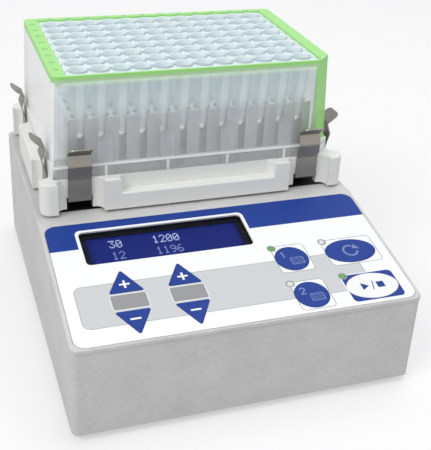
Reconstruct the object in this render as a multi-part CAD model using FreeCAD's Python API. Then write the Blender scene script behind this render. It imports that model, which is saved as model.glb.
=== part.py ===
import FreeCAD, Part
import math
import os
from FreeCAD import Vector

# An orbital microplate shaker with a deep-well plate on its tray.
# Millimetres, +Z up, front towards -Y, origin on the table under the middle of the casing.

# Casing
casing_width = 142.0
casing_depth = 170.0
foot_height = 3.0
front_height = 39.4
deck_height = 52.3
panel_run = 70.0
housing_wall = 2.5
housing_corner = 3.0
front_overhang = 0.5
cover_thickness = 1.6
cover_edge_round = 0.7
seam_gap = 0.2
lip_height = 3.0
lip_thickness = 1.5
inner_corner = 1.5
floor_ledge = 1.5
floor_ledge_height = 2.0
slip_clearance = 0.2
overrun = 1.0

# Base plate, feet and the posts that their screws go into
base_thickness = 2.0
corner_post_radius = 4.0
corner_post_inset = 9.0
corner_screw_radius = 1.5
corner_screw_length = 14.0
corner_screw_head_radius = 2.8
corner_screw_head = 1.6
foot_radius = 4.6
foot_flange_gap = 0.6

# Control overlay on the sloped panel, across and up the slope from the front edge
overlay_side_margin = 1.8
overlay_front_margin = 0.9
overlay_rear_margin = 1.8787
overlay_corner = 4.5
overlay_thickness = 0.7
overlay_recess = 0.5
overlay_gap = 0.3

# Display window and module
window_width = 70.5
window_height = 20.1
window_from_overlay_top = 15.8
window_corner = 2.0
window_thickness = 1.0
display_active_width = 66.0
display_active_height = 16.6
display_glass_margin = 1.2
display_depth = 2.6
display_frame_margin = 4.0
display_frame_lip = 0.5
display_frame_height = 5.0
display_stud_gap = 3.2
board_thickness = 1.6

# Keys
triangle_key_width = 13.9
triangle_key_height = 12.4
triangle_key_corner = 0.6
time_key_from_left = 26.5
mix_key_from_left = 49.9
up_key_base = 25.9
down_key_base = 15.9
round_key_radius = 7.1
preset_key_from_right = 44.6
oval_key_half_width = 11.2
oval_key_half_height = 7.0
oval_key_from_right = 18.0
upper_key_row = 31.8
lower_key_row = 10.2
key_proud = 0.15
key_gap = 0.15
key_flange = 0.8
key_flange_thickness = 1.0
key_seat_gap = 0.05
key_travel = 0.5
switch_gap = 0.1
switch_size = 6.0
switch_height = 3.4
switch_plunger_radius = 1.7
switch_plunger_height = 0.5

# Status lights, each beside the corner of a key's frame
light_radius = 1.3
light_dome = 0.5
light_flange = 0.6
light_gap = 0.1
light_left_of_preset = 6.4
light_left_of_oval = 10.0
light_up = 7.4

# Keypad board, and the screws of all the boards
keypad_board_side_gap = 14.5
keypad_board_length = 36.0
keypad_board_centre_up = 21.2
keypad_stud_from_oval = 15.2
board_stud_radius = 2.5
board_stud_edge = 4.0
board_screw_radius = 1.0
board_screw_head_radius = 2.0
board_screw_head = 1.4
board_screw_bite = 3.0

# Main board on the base plate
main_board_side_gap = 16.0
main_board_front_gap = 10.0
main_board_rear_gap = 13.0
standoff_height = 6.0
standoff_edge = 5.0
chip_height = 2.0
board_columns = 5
chip_size = 14.0
capacitor_radius = 5.0
capacitor_height = 13.0
header_width = 24.0
header_depth = 6.0
header_height = 8.0
ribbon_width = 22.0
ribbon_thickness = 0.9
ribbon_bend = 3.0

# Rear fittings
fitting_height = 20.0
inlet_from_left = 23.0
inlet_barrel_radius = 5.5
inlet_socket_radius = 3.2
inlet_depth = 10.6
inlet_socket_depth = 9.0
inlet_pin_radius = 1.0
inlet_flange = 1.5
inlet_flange_radius = 7.0
switch_from_inlet = 28.0
rocker_frame_width = 21.0
rocker_frame_height = 15.0
rocker_frame_depth = 10.6
rocker_frame_flange = 1.5
rocker_frame_rim = 1.5
rocker_width = 15.0
rocker_height = 10.0
rocker_depth = 7.0
rocker_tilt = 8.0
rocker_pin_radius = 1.2
rocker_gap = 0.4
port_from_right = 36.0
port_width = 31.0
port_height = 12.5
port_flange = 0.8
port_shell_width = 17.0
port_shell_height = 8.4
port_shell_wall = 0.6
port_body_depth = 8.0
port_stud_spacing = 25.0
port_stud_radius = 2.3
port_stud_length = 4.8
port_stud_bore = 1.4

# Orbital drive
orbit_radius = 1.0
drive_from_rear = 49.0
frame_size = 80.0
frame_thickness = 4.0
frame_height = 31.0
pillar_edge = 6.0
pillar_radius = 4.0
frame_screw_radius = 1.5
frame_screw_length = 8.0
frame_screw_head_radius = 2.8
frame_screw_head = 1.8
motor_radius = 22.0
motor_length = 20.0
motor_wall = 1.5
motor_screw_circle_radius = 16.0
motor_flange = 4.5
rotor_radius = 12.0
rotor_air_gap = 0.5
rotor_end_gap = 2.0
shaft_radius = 3.0
running_fit = 0.03
motor_bearing_radius = 6.5
motor_bearing_width = 4.0
hub_radius = 7.0
hub_gap = 0.6
hub_height = 4.6
counterweight_radius = 17.0
counterweight_height = 4.0
counterweight_collar = 3.0
pin_radius = 3.0
pin_end_gap = 0.4
eccentric_bearing_radius = 8.0
idler_circle_radius = 28.0
idler_pin_radius = 2.0
idler_disc_radius = 5.5
idler_bearing_radius = 5.0
idler_angles = (90.0, 180.0, 0.0)

# Carrier under the deck and its posts
carrier_radius = 36.0
carrier_thickness = 5.0
carrier_gap = 0.6
post_radius = 5.0
post_circle_radius = 26.0
post_angles = (45.0, 135.0, 225.0, 315.0)
post_hole_margin = 2.2
tray_screw_radius = 1.5
tray_screw_length = 10.0
tray_screw_head_radius = 2.8
tray_screw_head = 1.8

# Shaking tray
tray_end_margin = 4.72
tray_side_margin = 4.56
tray_gap = 1.3
tray_height = 14.2
tray_corner = 4.0
tray_top_thickness = 4.0
tray_wall = 3.0
tray_edge_round = 0.8
clip_recess_width = 19.6
clip_recess_corner = 3.5
long_clip_from_end = 11.98
short_clip_from_end = 12.54
ledge_length = 70.0
ledge_depth = 4.8
ledge_corner = 3.0
ledge_height = 7.4

# Spring clips, and the turns about the tray's middle that face its four sides
facing_front = 0.0
facing_right = 90.0
facing_rear = 180.0
facing_left = 270.0
clip_width = 10.0
clip_thickness = 0.5
clip_clearance = 0.3
clip_foot_height = 3.2
clip_foot_length = 7.6
clip_blade_top = 13.8
clip_bulge_out = 1.8
clip_bulge_height = 20.3
clip_press_height = 25.3
clip_flare_out = 5.6
clip_flare_rise = 4.3
clip_bend = 1.2
clip_tip_corner = 2.4
clip_foot_clearance = 0.3
clip_slot_clearance = 0.6
clip_slot_height = 5.4
clip_boss_width = 8.0
clip_boss_length = 5.6
clip_screw_from_end = 2.0
clip_screw_radius = 1.0
clip_hole_clearance = 0.3
clip_screw_head_radius = 1.9
clip_screw_head = 1.2
clip_screw_bite = 4.0

# Deep-well plate
plate_length = 127.76
plate_width = 85.48
plate_height = 44.0
plate_skirt_height = 5.2
plate_wall = 1.3
plate_corner = 2.5
rib_pitch = 27.0
rib_count = 4
rib_thickness = 1.0
rib_depth = 2.2
plate_notch = 6.6
wall_inset_low = 0.9
wall_inset_high = 2.3
plate_deck_thickness = 1.2
plate_deck_drop = 2.7
plateau_drop = 0.9
well_column_from_end = 14.38
well_row_from_side = 11.24
well_columns = 12
well_rows = 8
well_rim_radius = 4.3
well_rim_rise = 0.7
well_neck_radius = 3.1
well_low_radius = 2.7
well_shoulder_height = 34.0
well_neck_height = 25.0
well_low_height = 17.0
well_tip_height = 13.5
well_tip_radius = 0.9
well_wall = 0.6
border_left = 5.9
border_right = 5.6
border_front = 1.1
border_rear = 3.2
border_gap = 0.05
corner_strip_thickness = 1.0

# Adapter block
adapter_end_gap = 8.88
adapter_side_gap = 7.94
adapter_height = 23.2
adapter_hole_radius = 3.7
adapter_hole_floor = 2.4

# Places worked out from the sizes above
front_y = -casing_depth / 2
rear_y = casing_depth / 2
half_casing = casing_width / 2
overlay_width = casing_width - overlay_side_margin * 2
slope_length = math.hypot(panel_run, deck_height - front_height)
overlay_length = slope_length - overlay_front_margin - overlay_rear_margin
window_centre_up = slope_length - overlay_rear_margin - window_from_overlay_top
time_key_x = time_key_from_left - half_casing
mix_key_x = mix_key_from_left - half_casing
window_centre_x = mix_key_x
preset_key_x = half_casing - preset_key_from_right
oval_key_x = half_casing - oval_key_from_right
keypad_board_width = casing_width - keypad_board_side_gap * 2
keypad_stud_right = oval_key_x - keypad_stud_from_oval
main_board_width = casing_width - main_board_side_gap * 2
inlet_x = inlet_from_left - half_casing
switch_x = inlet_x + switch_from_inlet
port_x = half_casing - port_from_right
housing_front = front_y + front_overhang
drive_y = rear_y - drive_from_rear
drive_front = drive_y - frame_size / 2
main_board_length = drive_front - main_board_rear_gap - front_y - main_board_front_gap
tray_width = plate_length + tray_end_margin * 2
tray_depth = plate_width + tray_side_margin * 2
long_clip_offset = plate_length / 2 - long_clip_from_end
short_clip_offset = plate_width / 2 - short_clip_from_end
adapter_length = plate_length - adapter_end_gap * 2
adapter_width = plate_width - adapter_side_gap * 2
bend_y = front_y + panel_run
front_z = foot_height + front_height
deck_z = foot_height + deck_height
panel_angle = math.degrees(math.atan2(deck_height - front_height, panel_run))
floor_z = foot_height + base_thickness
cover_underside = deck_z - cover_thickness
frame_low = floor_z + frame_height
frame_top = frame_low + frame_thickness
carrier_low = frame_top + hub_gap + hub_height + carrier_gap
carrier_top = carrier_low + carrier_thickness
tray_y = drive_y + orbit_radius
tray_low = deck_z + tray_gap
tray_top = tray_low + tray_height
tray_inner_top = tray_top - tray_top_thickness
plate_seat = tray_top


def box(x0, x1, y0, y1, z0, z1):
    return Part.makeBox(x1 - x0, y1 - y0, z1 - z0, Vector(x0, y0, z0))


def rod(x, y, z0, z1, radius):
    return Part.makeCylinder(radius, z1 - z0, Vector(x, y, z0))


def ring(x, y, z0, z1, outer, inner):
    return rod(x, y, z0, z1, outer).cut(rod(x, y, z0 - overrun, z1 + overrun, inner))


def lying_rod(x, z, y0, y1, radius):
    return Part.makeCylinder(radius, y1 - y0, Vector(x, y0, z), Vector(0, 1, 0))


def rounded_box(x0, x1, y0, y1, z0, z1, radius):
    """A box with its upright edges rounded."""
    block = box(x0, x1, y0, y1, z0, z1)
    upright = [e for e in block.Edges if abs(e.Vertexes[0].Point.z - e.Vertexes[1].Point.z) > overrun / 2]
    return block.makeFillet(radius, upright)


def centred_box(cx, cy, width, length, z0, z1, radius=0):
    limits = (cx - width / 2, cx + width / 2, cy - length / 2, cy + length / 2, z0, z1)
    if radius:
        return rounded_box(*limits, radius)
    return box(*limits)


def extruded(points, direction):
    """A solid from a closed outline of points, pulled along a direction."""
    wire = Part.makePolygon(points + [points[0]])
    return Part.Face(wire).extrude(direction)


def polar(radius, degrees, cx=0, cy=0):
    angle = math.radians(degrees)
    return cx + radius * math.cos(angle), cy + radius * math.sin(angle)


def fused(shapes):
    return shapes[0].multiFuse(shapes[1:]).removeSplitter()


def save(name, shape):
    if shape.ShapeType == "Compound" and len(shape.Solids) == 1:
        shape = shape.Solids[0]
    shape.exportStep("parts/" + name + ".step")
    print(name, len(shape.Solids), "solids", round(shape.Volume), "mm3", "valid", shape.isValid())


def on_panel(shape):
    """Moves a shape drawn flat, across, up the slope and out of it, onto the sloped panel."""
    placed = shape.copy()
    placed.rotate(Vector(0, 0, 0), Vector(1, 0, 0), panel_angle)
    placed.translate(Vector(0, front_y, front_z))
    return placed


def surface_band(drop_top, drop_bottom, half_width, y0, y1):
    """The layer between two copies of the casing's top line, each dropped by a depth."""
    slope = math.tan(math.radians(panel_angle))
    start = deck_z - (bend_y - y0) * slope
    upper = [Vector(-half_width, y0, start - drop_top), Vector(-half_width, bend_y, deck_z - drop_top)]
    upper.append(Vector(-half_width, y1, deck_z - drop_top))
    lower = [Vector(-half_width, y1, deck_z - drop_bottom), Vector(-half_width, bend_y, deck_z - drop_bottom)]
    lower.append(Vector(-half_width, y0, start - drop_bottom))
    return extruded(upper + lower, Vector(half_width + half_width, 0, 0))


def corner_places():
    side = casing_width / 2 - corner_post_inset
    return [(x, y) for x in (-side, side) for y in (front_y + corner_post_inset, rear_y - corner_post_inset)]


# Outlines drawn flat on the sloped panel
def overlay_block(z0, z1, grow):
    centre = overlay_front_margin + overlay_length / 2
    width = overlay_width + grow + grow
    length = overlay_length + grow + grow
    return centred_box(0, centre, width, length, z0, z1, overlay_corner + grow)


def window_block(z0, z1, grow):
    width = window_width + grow + grow
    height = window_height + grow + grow
    return centred_box(window_centre_x, window_centre_up, width, height, z0, z1, window_corner)


def triangle_prism(x, base, upward, z0, z1, grow):
    """A key outline like an arrowhead; grow moves each side outwards by the same distance."""
    half = triangle_key_width / 2
    side = math.hypot(half, triangle_key_height)
    tip_shift = grow * side / half
    base_shift = grow * (side + half) / triangle_key_height
    sign = 1 if upward else -1
    left = Vector(x - half - base_shift, base - sign * grow, z0)
    right = Vector(x + half + base_shift, base - sign * grow, z0)
    tip = Vector(x, base + sign * (triangle_key_height + tip_shift), z0)
    prism = extruded([left, right, tip], Vector(0, 0, z1 - z0))
    upright = [e for e in prism.Edges if abs(e.Vertexes[0].Point.z - e.Vertexes[1].Point.z) > (z1 - z0) / 2]
    return prism.makeFillet(triangle_key_corner + max(grow, 0), upright)


def round_prism(x, up, z0, z1, grow):
    return rod(x, up, z0, z1, round_key_radius + grow)


def oval_prism(x, up, z0, z1, grow):
    curve = Part.Ellipse(Vector(x, up, z0), oval_key_half_width + grow, oval_key_half_height + grow)
    return Part.Face(Part.Wire(curve.toShape())).extrude(Vector(0, 0, z1 - z0))


def key_outlines():
    """Each key's name and a function of bottom, top and growth that draws its outline."""
    outlines = {}
    for name, x in (("time", time_key_x), ("mix", mix_key_x)):
        outlines[name + "_up_key"] = lambda a, b, g, x=x: triangle_prism(x, up_key_base, True, a, b, g)
        outlines[name + "_down_key"] = lambda a, b, g, x=x: triangle_prism(x, down_key_base, False, a, b, g)
    for name, up in (("preset_1_key", upper_key_row), ("preset_2_key", lower_key_row)):
        outlines[name] = lambda a, b, g, up=up: round_prism(preset_key_x, up, a, b, g)
    for name, up in (("short_mix_key", upper_key_row), ("start_stop_key", lower_key_row)):
        outlines[name] = lambda a, b, g, up=up: oval_prism(oval_key_x, up, a, b, g)
    return outlines


def key_centres():
    third = triangle_key_height / 3
    centres = []
    for x in (time_key_x, mix_key_x):
        centres += [(x, up_key_base + third), (x, down_key_base - third)]
    for x in (preset_key_x, oval_key_x):
        centres += [(x, upper_key_row), (x, lower_key_row)]
    return centres


def light_places():
    places = []
    for x in (preset_key_x - light_left_of_preset, oval_key_x - light_left_of_oval):
        places += [(x, upper_key_row + light_up), (x, lower_key_row + light_up)]
    return places


overlay_top = overlay_thickness - overlay_recess
key_top = overlay_top + key_proud
key_bottom = -cover_thickness - key_seat_gap - key_flange_thickness
switch_top = key_bottom - key_travel - switch_gap
keypad_board_top = switch_top - switch_plunger_height - switch_height
keypad_board_low = keypad_board_top - board_thickness
display_frame_top = -display_depth + display_frame_lip
display_board_top = display_frame_top - display_frame_height
display_board_low = display_board_top - board_thickness


def panel_stud_places():
    """Screw places of the keypad board, between its keys, then of the display board."""
    left = board_stud_edge - keypad_board_width / 2
    reach = keypad_board_length / 2 - board_stud_edge
    keypad = [(x, keypad_board_centre_up + y) for x in (left, keypad_stud_right) for y in (-reach, reach)]
    side = display_active_width / 2 + display_frame_margin + display_stud_gap
    display = [(window_centre_x + x, window_centre_up) for x in (-side, side)]
    return keypad, display


def outer_top_edges(cover):
    """The edges round the cover's upper faces, without the bend line."""
    slope = math.tan(math.radians(panel_angle))
    edges = []
    for edge in cover.Edges:
        middle = edge.CenterOfMass
        across = edge.BoundBox.XLength > casing_width / 2
        bend_line = across and abs(middle.y - bend_y) < overrun
        surface = deck_z - max(bend_y - middle.y, 0) * slope
        if abs(middle.z - surface) < overrun / 2 and not bend_line:
            edges.append(edge)
    return edges


def make_top_cover():
    half = casing_width / 2
    cover = surface_band(0, cover_thickness, half, front_y, rear_y)
    upright = [e for e in cover.Edges if e.Length < cover_thickness + overrun]
    upright = [e for e in upright if abs(abs(e.CenterOfMass.y) - rear_y) < overrun]
    cover = cover.makeFillet(housing_corner, upright)
    cover = cover.makeFillet(cover_edge_round, outer_top_edges(cover))
    inside = half - housing_wall - slip_clearance
    y0, y1 = housing_front + housing_wall + slip_clearance, rear_y - housing_wall - slip_clearance
    lip = surface_band(cover_thickness, cover_thickness + lip_height, inside, y0, y1)
    lip = lip.common(rounded_box(-inside, inside, y0, y1, 0, deck_z, inner_corner))
    inner = inside - lip_thickness
    lip = lip.cut(box(-inner, inner, y0 + lip_thickness, y1 - lip_thickness, 0, deck_z + overrun))
    solids = [cover, lip]
    for x, y in corner_places():
        post = rod(x, y, floor_z, deck_z, corner_post_radius)
        solids.append(post.common(surface_band(cover_thickness / 2, deck_z, half, front_y, rear_y)))
    keypad_studs, display_studs = panel_stud_places()
    for x, up in keypad_studs:
        solids.append(on_panel(rod(x, up, keypad_board_top, -cover_thickness / 2, board_stud_radius)))
    for x, up in display_studs:
        solids.append(on_panel(rod(x, up, display_board_top, -cover_thickness / 2, board_stud_radius)))
    cover = fused(solids)
    cuts = [on_panel(overlay_block(-overlay_recess, overrun, overlay_gap))]
    cuts.append(on_panel(window_block(-cover_thickness - overrun, 0, slip_clearance)))
    for outline in key_outlines().values():
        cuts.append(on_panel(outline(-cover_thickness - overrun, 0, key_gap + slip_clearance)))
        cuts.append(on_panel(outline(key_bottom - lip_height, -cover_thickness, key_flange + slip_clearance)))
    for x, up in light_places():
        cuts.append(on_panel(rod(x, up, -cover_thickness - overrun, 0, light_radius + light_gap)))
    for x, up in keypad_studs:
        start = keypad_board_top - overrun
        cuts.append(on_panel(rod(x, up, start, keypad_board_top + board_screw_bite, board_screw_radius)))
    for x, up in display_studs:
        start = display_board_top - overrun
        cuts.append(on_panel(rod(x, up, start, display_board_top + board_screw_bite, board_screw_radius)))
    for x, y in post_holes():
        cuts.append(rod(x, y, cover_underside - overrun, deck_z + overrun, post_radius + post_hole_margin))
    for x, y in corner_places():
        cuts.append(rod(x, y, floor_z - overrun, screw_tip_height(), corner_screw_radius))
    return cover.cut(Part.makeCompound(cuts))


def screw_tip_height():
    return foot_flange_gap + corner_screw_head + corner_screw_length


def post_holes():
    return [polar(post_circle_radius, a, 0, drive_y) for a in post_angles]


def make_lower_housing():
    half = casing_width / 2
    top = deck_z + overrun
    outer = rounded_box(-half, half, housing_front, rear_y, foot_height, top, housing_corner)
    inside = half - housing_wall
    y0, y1 = housing_front + housing_wall, rear_y - housing_wall
    cavity = rounded_box(-inside, inside, y0, y1, foot_height - overrun, floor_z, inner_corner)
    upper = rounded_box(-inside, inside, y0, y1, floor_z + floor_ledge_height, top + overrun, inner_corner)
    inner = inside - floor_ledge
    throat = box(-inner, inner, y0 + floor_ledge, y1 - floor_ledge, foot_height, top)
    shell = outer.cut(cavity).cut(upper).cut(throat)
    drop = cover_thickness + seam_gap
    above = surface_band(-deck_z, drop, half + overrun, front_y - overrun, rear_y + overrun)
    shell = shell.cut(above)
    wall_y = rear_y - housing_wall - overrun
    outside = rear_y + overrun
    z = foot_height + fitting_height
    cuts = [lying_rod(inlet_x, z, wall_y, outside, inlet_barrel_radius + slip_clearance)]
    half_w = rocker_frame_width / 2 - rocker_frame_rim + slip_clearance
    half_h = rocker_frame_height / 2 - rocker_frame_rim + slip_clearance
    cuts.append(box(switch_x - half_w, switch_x + half_w, wall_y, outside, z - half_h, z + half_h))
    half_w = port_shell_width / 2 + slip_clearance
    half_h = port_shell_height / 2 + slip_clearance
    cuts.append(box(port_x - half_w, port_x + half_w, wall_y, outside, z - half_h, z + half_h))
    for x in (port_x - port_stud_spacing / 2, port_x + port_stud_spacing / 2):
        cuts.append(lying_rod(x, z, wall_y, outside, port_stud_radius + slip_clearance))
    return shell.cut(Part.makeCompound(cuts))


def make_base_plate():
    half = casing_width / 2 - housing_wall - slip_clearance
    y0, y1 = housing_front + housing_wall + slip_clearance, rear_y - housing_wall - slip_clearance
    plate = rounded_box(-half, half, y0, y1, foot_height, floor_z, inner_corner)
    cuts = []
    for x, y in corner_places():
        cuts.append(rod(x, y, foot_height - overrun, floor_z + overrun, corner_screw_radius + slip_clearance))
    for x, y in pillar_places():
        cuts.append(rod(x, y, foot_height - overrun, floor_z + overrun, frame_screw_radius + slip_clearance))
    return plate.cut(Part.makeCompound(cuts))


def make_feet():
    feet = []
    for x, y in corner_places():
        foot = rod(x, y, 0, foot_height, foot_radius)
        foot = foot.cut(rod(x, y, -overrun, foot_height + overrun, corner_screw_radius + slip_clearance))
        sink = foot_flange_gap + corner_screw_head
        foot = foot.cut(rod(x, y, -overrun, sink, corner_screw_head_radius + slip_clearance))
        feet.append(foot)
    return Part.makeCompound(feet)


def make_corner_screws():
    screws = []
    head_top = foot_flange_gap + corner_screw_head
    for x, y in corner_places():
        head = rod(x, y, foot_flange_gap, head_top, corner_screw_head_radius)
        screws.append(fused([head, rod(x, y, foot_flange_gap, screw_tip_height(), corner_screw_radius)]))
    return Part.makeCompound(screws)


def make_control_overlay():
    sheet = overlay_block(-overlay_recess, overlay_top, 0)
    cuts = [window_block(-overrun, overrun, 0)]
    for outline in key_outlines().values():
        cuts.append(outline(-overrun, overrun, key_gap))
    for x, up in light_places():
        cuts.append(rod(x, up, -overrun, overrun, light_radius + light_gap))
    return on_panel(sheet.cut(Part.makeCompound(cuts)))


def make_display_window():
    """A clear block whose top is flush with the overlay round it."""
    return on_panel(window_block(-overlay_recess - window_thickness, overlay_top, 0))


def make_display_frame():
    width = display_active_width + display_frame_margin + display_frame_margin
    height = display_active_height + display_frame_margin + display_frame_margin
    limits = (width, height, display_board_top, display_frame_top)
    frame = centred_box(window_centre_x, window_centre_up, *limits)
    glass_top = -display_depth
    glass_width = display_active_width + display_glass_margin + display_glass_margin
    glass_height = display_active_height + display_glass_margin + display_glass_margin
    opening = (display_active_width, display_active_height)
    frame = frame.cut(centred_box(window_centre_x, window_centre_up, *opening, glass_top - overrun, overrun))
    pocket = centred_box(window_centre_x, window_centre_up, glass_width, glass_height,
                         display_board_top - overrun, glass_top)
    return on_panel(frame.cut(pocket))


def make_display_glass():
    """The display cell with its light box behind it, down to the board."""
    width = display_active_width + display_glass_margin + display_glass_margin - slip_clearance
    height = display_active_height + display_glass_margin + display_glass_margin - slip_clearance
    limits = (width, height, display_board_top, -display_depth)
    return on_panel(centred_box(window_centre_x, window_centre_up, *limits))


def make_display_board():
    studs = panel_stud_places()[1]
    width = studs[1][0] - studs[0][0] + board_stud_radius * 2
    height = display_active_height + display_frame_margin + display_frame_margin
    limits = (width, height, display_board_low, display_board_top)
    board = centred_box(window_centre_x, window_centre_up, *limits)
    for x, up in panel_stud_places()[1]:
        hole = board_screw_radius + slip_clearance
        board = board.cut(rod(x, up, display_board_low - overrun, display_board_top + overrun, hole))
    return on_panel(board)


def make_keypad_board():
    board = centred_box(0, keypad_board_centre_up, keypad_board_width, keypad_board_length,
                        keypad_board_low, keypad_board_top)
    for x, up in panel_stud_places()[0]:
        hole = board_screw_radius + slip_clearance
        board = board.cut(rod(x, up, keypad_board_low - overrun, keypad_board_top + overrun, hole))
    return on_panel(board)


def make_key_switches():
    switches = []
    for x, up in key_centres():
        top = keypad_board_top + switch_height
        body = centred_box(x, up, switch_size, switch_size, keypad_board_top, top)
        plunger = rod(x, up, keypad_board_top + switch_height / 2, switch_top, switch_plunger_radius)
        switches.append(on_panel(fused([body, plunger])))
    return Part.makeCompound(switches)


def make_status_lights():
    lights = []
    for x, up in light_places():
        pipe = rod(x, up, keypad_board_top, overlay_top, light_radius)
        dome = Part.makeSphere(light_radius, Vector(x, up, overlay_top))
        flat = light_radius - light_dome
        dome.translate(Vector(0, 0, -flat))
        dome = dome.common(rod(x, up, overlay_top - light_dome, overlay_top + light_radius, light_radius))
        flange_top = -cover_thickness
        flange = rod(x, up, flange_top - light_flange, flange_top, light_radius + light_flange)
        lights.append(on_panel(fused([pipe, dome, flange])))
    return Part.makeCompound(lights)


def make_key(outline):
    """A cap with a flange under the cover, trimmed where the front wall stands."""
    cap = outline(key_bottom, key_top, 0)
    flange = outline(key_bottom, key_bottom + key_flange_thickness, key_flange)
    trim = front_overhang + housing_wall + slip_clearance
    reach = casing_width / 2
    flange = flange.common(box(-reach, reach, trim, panel_run, key_bottom, 0))
    return on_panel(fused([cap, flange]))


def make_board_screws():
    """Screws of the keypad board, the display board and the main board."""
    screws = []
    keypad, display = panel_stud_places()
    for places, low, top in ((keypad, keypad_board_low, keypad_board_top),
                             (display, display_board_low, display_board_top)):
        for x, up in places:
            head = rod(x, up, low - board_screw_head, low, board_screw_head_radius)
            shank = rod(x, up, low - board_screw_head, top + board_screw_bite, board_screw_radius)
            screws.append(on_panel(fused([head, shank])))
    for x, y in standoff_places():
        head = rod(x, y, board_top, board_top + board_screw_head, board_screw_head_radius)
        shank = rod(x, y, board_low - board_screw_bite, board_top + board_screw_head, board_screw_radius)
        screws.append(fused([head, shank]))
    return Part.makeCompound(screws)


def main_board_limits():
    y0 = front_y + main_board_front_gap
    return -main_board_width / 2, main_board_width / 2, y0, y0 + main_board_length


def standoff_places():
    x0, x1, y0, y1 = main_board_limits()
    xs = (x0 + standoff_edge, x1 - standoff_edge)
    ys = (y0 + standoff_edge, y1 - standoff_edge)
    return [(x, y) for x in xs for y in ys]


board_low = floor_z + standoff_height
board_top = board_low + board_thickness


def make_main_board():
    x0, x1, y0, y1 = main_board_limits()
    board = box(x0, x1, y0, y1, board_low, board_top)
    for x, y in standoff_places():
        hole = board_screw_radius + slip_clearance
        board = board.cut(rod(x, y, board_low - overrun, board_top + overrun, hole))
    return board


def make_standoffs():
    studs = []
    for x, y in standoff_places():
        stud = rod(x, y, floor_z, board_low, board_stud_radius)
        bore = rod(x, y, board_low - board_screw_bite, board_low + overrun, board_screw_radius)
        studs.append(stud.cut(bore))
    return Part.makeCompound(studs)


def make_board_parts():
    """Chips, capacitors and the ribbon's header on the main board."""
    x0, x1, y0, y1 = main_board_limits()
    middle = (y0 + y1) / 2
    step = main_board_width / board_columns
    solids = []
    for i in (-1, 0, 1):
        top = board_top + chip_height
        solids.append(centred_box(i * step, middle - chip_size, chip_size, chip_size, board_top, top))
    for i in (-1, 1):
        top = board_top + capacitor_height
        solids.append(rod(i * step * 2, middle, board_top, top, capacitor_radius))
    top = board_top + header_height
    solids.append(centred_box(0, header_y(), header_width, header_depth, board_top, top))
    return Part.makeCompound(solids)


def header_y():
    return main_board_limits()[2] + main_board_length / 2 + chip_size / 2


def bent_strip(points, radius, thickness):
    """A flat face in the YZ plane: a strip of even thickness along a bent line of (y, z) points."""
    rails = {1: [], -1: []}
    pts = [Vector(0, y, z) for y, z in points]
    normals = []
    for a, b in zip(pts, pts[1:]):
        along = (b - a).normalize()
        normals.append(Vector(0, -along.z, along.y))
    for side in rails:
        start = pts[0] + normals[0] * (side * thickness / 2)
        for i in range(1, len(pts) - 1):
            before, after = (pts[i] - pts[i - 1]).normalize(), (pts[i + 1] - pts[i]).normalize()
            turn = before.getAngle(after)
            cross = before.cross(after).x
            sign = 1 if cross > 0 else -1
            setback = radius * math.tan(turn / 2)
            centre = pts[i] - before * setback + normals[i - 1] * (sign * radius)
            reach = radius - sign * side * thickness / 2
            first = centre - normals[i - 1] * (sign * reach)
            last = centre - normals[i] * (sign * reach)
            middle = centre - (normals[i - 1] + normals[i]).normalize() * (sign * reach)
            rails[side] += [Part.LineSegment(start, first).toShape(), Part.Arc(first, middle, last).toShape()]
            start = last
        end = pts[-1] + normals[-1] * (side * thickness / 2)
        rails[side].append(Part.LineSegment(start, end).toShape())
    caps = []
    for end in (0, -1):
        offset = normals[end] * (thickness / 2)
        caps.append(Part.LineSegment(pts[end] + offset, pts[end] - offset).toShape())
    edges = rails[1] + rails[-1] + caps
    return Part.Face(Part.Wire(Part.__sortEdges__(edges)))


def make_ribbon_cable():
    """From the header on the main board up to the underside of the keypad board."""
    low = board_top + header_height
    angle = math.radians(panel_angle)
    up = keypad_board_centre_up
    y_end = front_y + up * math.cos(angle) - keypad_board_low * math.sin(angle)
    z_end = front_z + up * math.sin(angle) + keypad_board_low * math.cos(angle)
    middle = (low + z_end) / 2
    y_middle = y_end + math.tan(angle) * (z_end - middle)
    points = [(header_y(), low), (header_y(), middle), (y_middle, middle), (y_end, z_end)]
    face = bent_strip(points, ribbon_bend, ribbon_thickness)
    strip = face.extrude(Vector(ribbon_width, 0, 0))
    strip.translate(Vector(-ribbon_width / 2, 0, 0))
    return strip


def make_power_inlet():
    z = foot_height + fitting_height
    inner = rear_y - inlet_depth
    barrel = lying_rod(inlet_x, z, inner, rear_y, inlet_barrel_radius)
    flange_y = rear_y - housing_wall
    flange = lying_rod(inlet_x, z, flange_y - inlet_flange, flange_y, inlet_flange_radius)
    body = fused([barrel, flange])
    socket = lying_rod(inlet_x, z, rear_y - inlet_socket_depth, rear_y + overrun, inlet_socket_radius)
    pin = lying_rod(inlet_x, z, rear_y - inlet_socket_depth - overrun, rear_y - overrun, inlet_pin_radius)
    return fused([body.cut(socket), pin])


def rear_block(half_width, half_height, y0, y1):
    """A block round the power switch's middle."""
    z = foot_height + fitting_height
    return box(switch_x - half_width, switch_x + half_width, y0, y1, z - half_height, z + half_height)


def make_rocker_frame():
    z = foot_height + fitting_height
    half_w = rocker_frame_width / 2 - rocker_frame_rim
    half_h = rocker_frame_height / 2 - rocker_frame_rim
    body = rear_block(half_w, half_h, rear_y - rocker_frame_depth, rear_y)
    back = rear_y - housing_wall
    flange = rear_block(rocker_frame_width / 2, rocker_frame_height / 2, back - rocker_frame_flange, back)
    depth = rocker_depth + rocker_gap + rocker_gap
    well_w = rocker_width / 2 + rocker_gap
    well_h = rocker_height / 2 + rocker_gap
    frame = fused([body, flange]).cut(rear_block(well_w, well_h, rear_y - depth, rear_y + overrun))
    reach = half_w + overrun
    bore = Part.makeCylinder(rocker_pin_radius + running_fit, reach + reach,
                             Vector(switch_x - reach, rocker_axis_y(), z), Vector(1, 0, 0))
    return frame.cut(bore)


def rocker_axis_y():
    return rear_y - rocker_depth / 2 - rocker_gap


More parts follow.
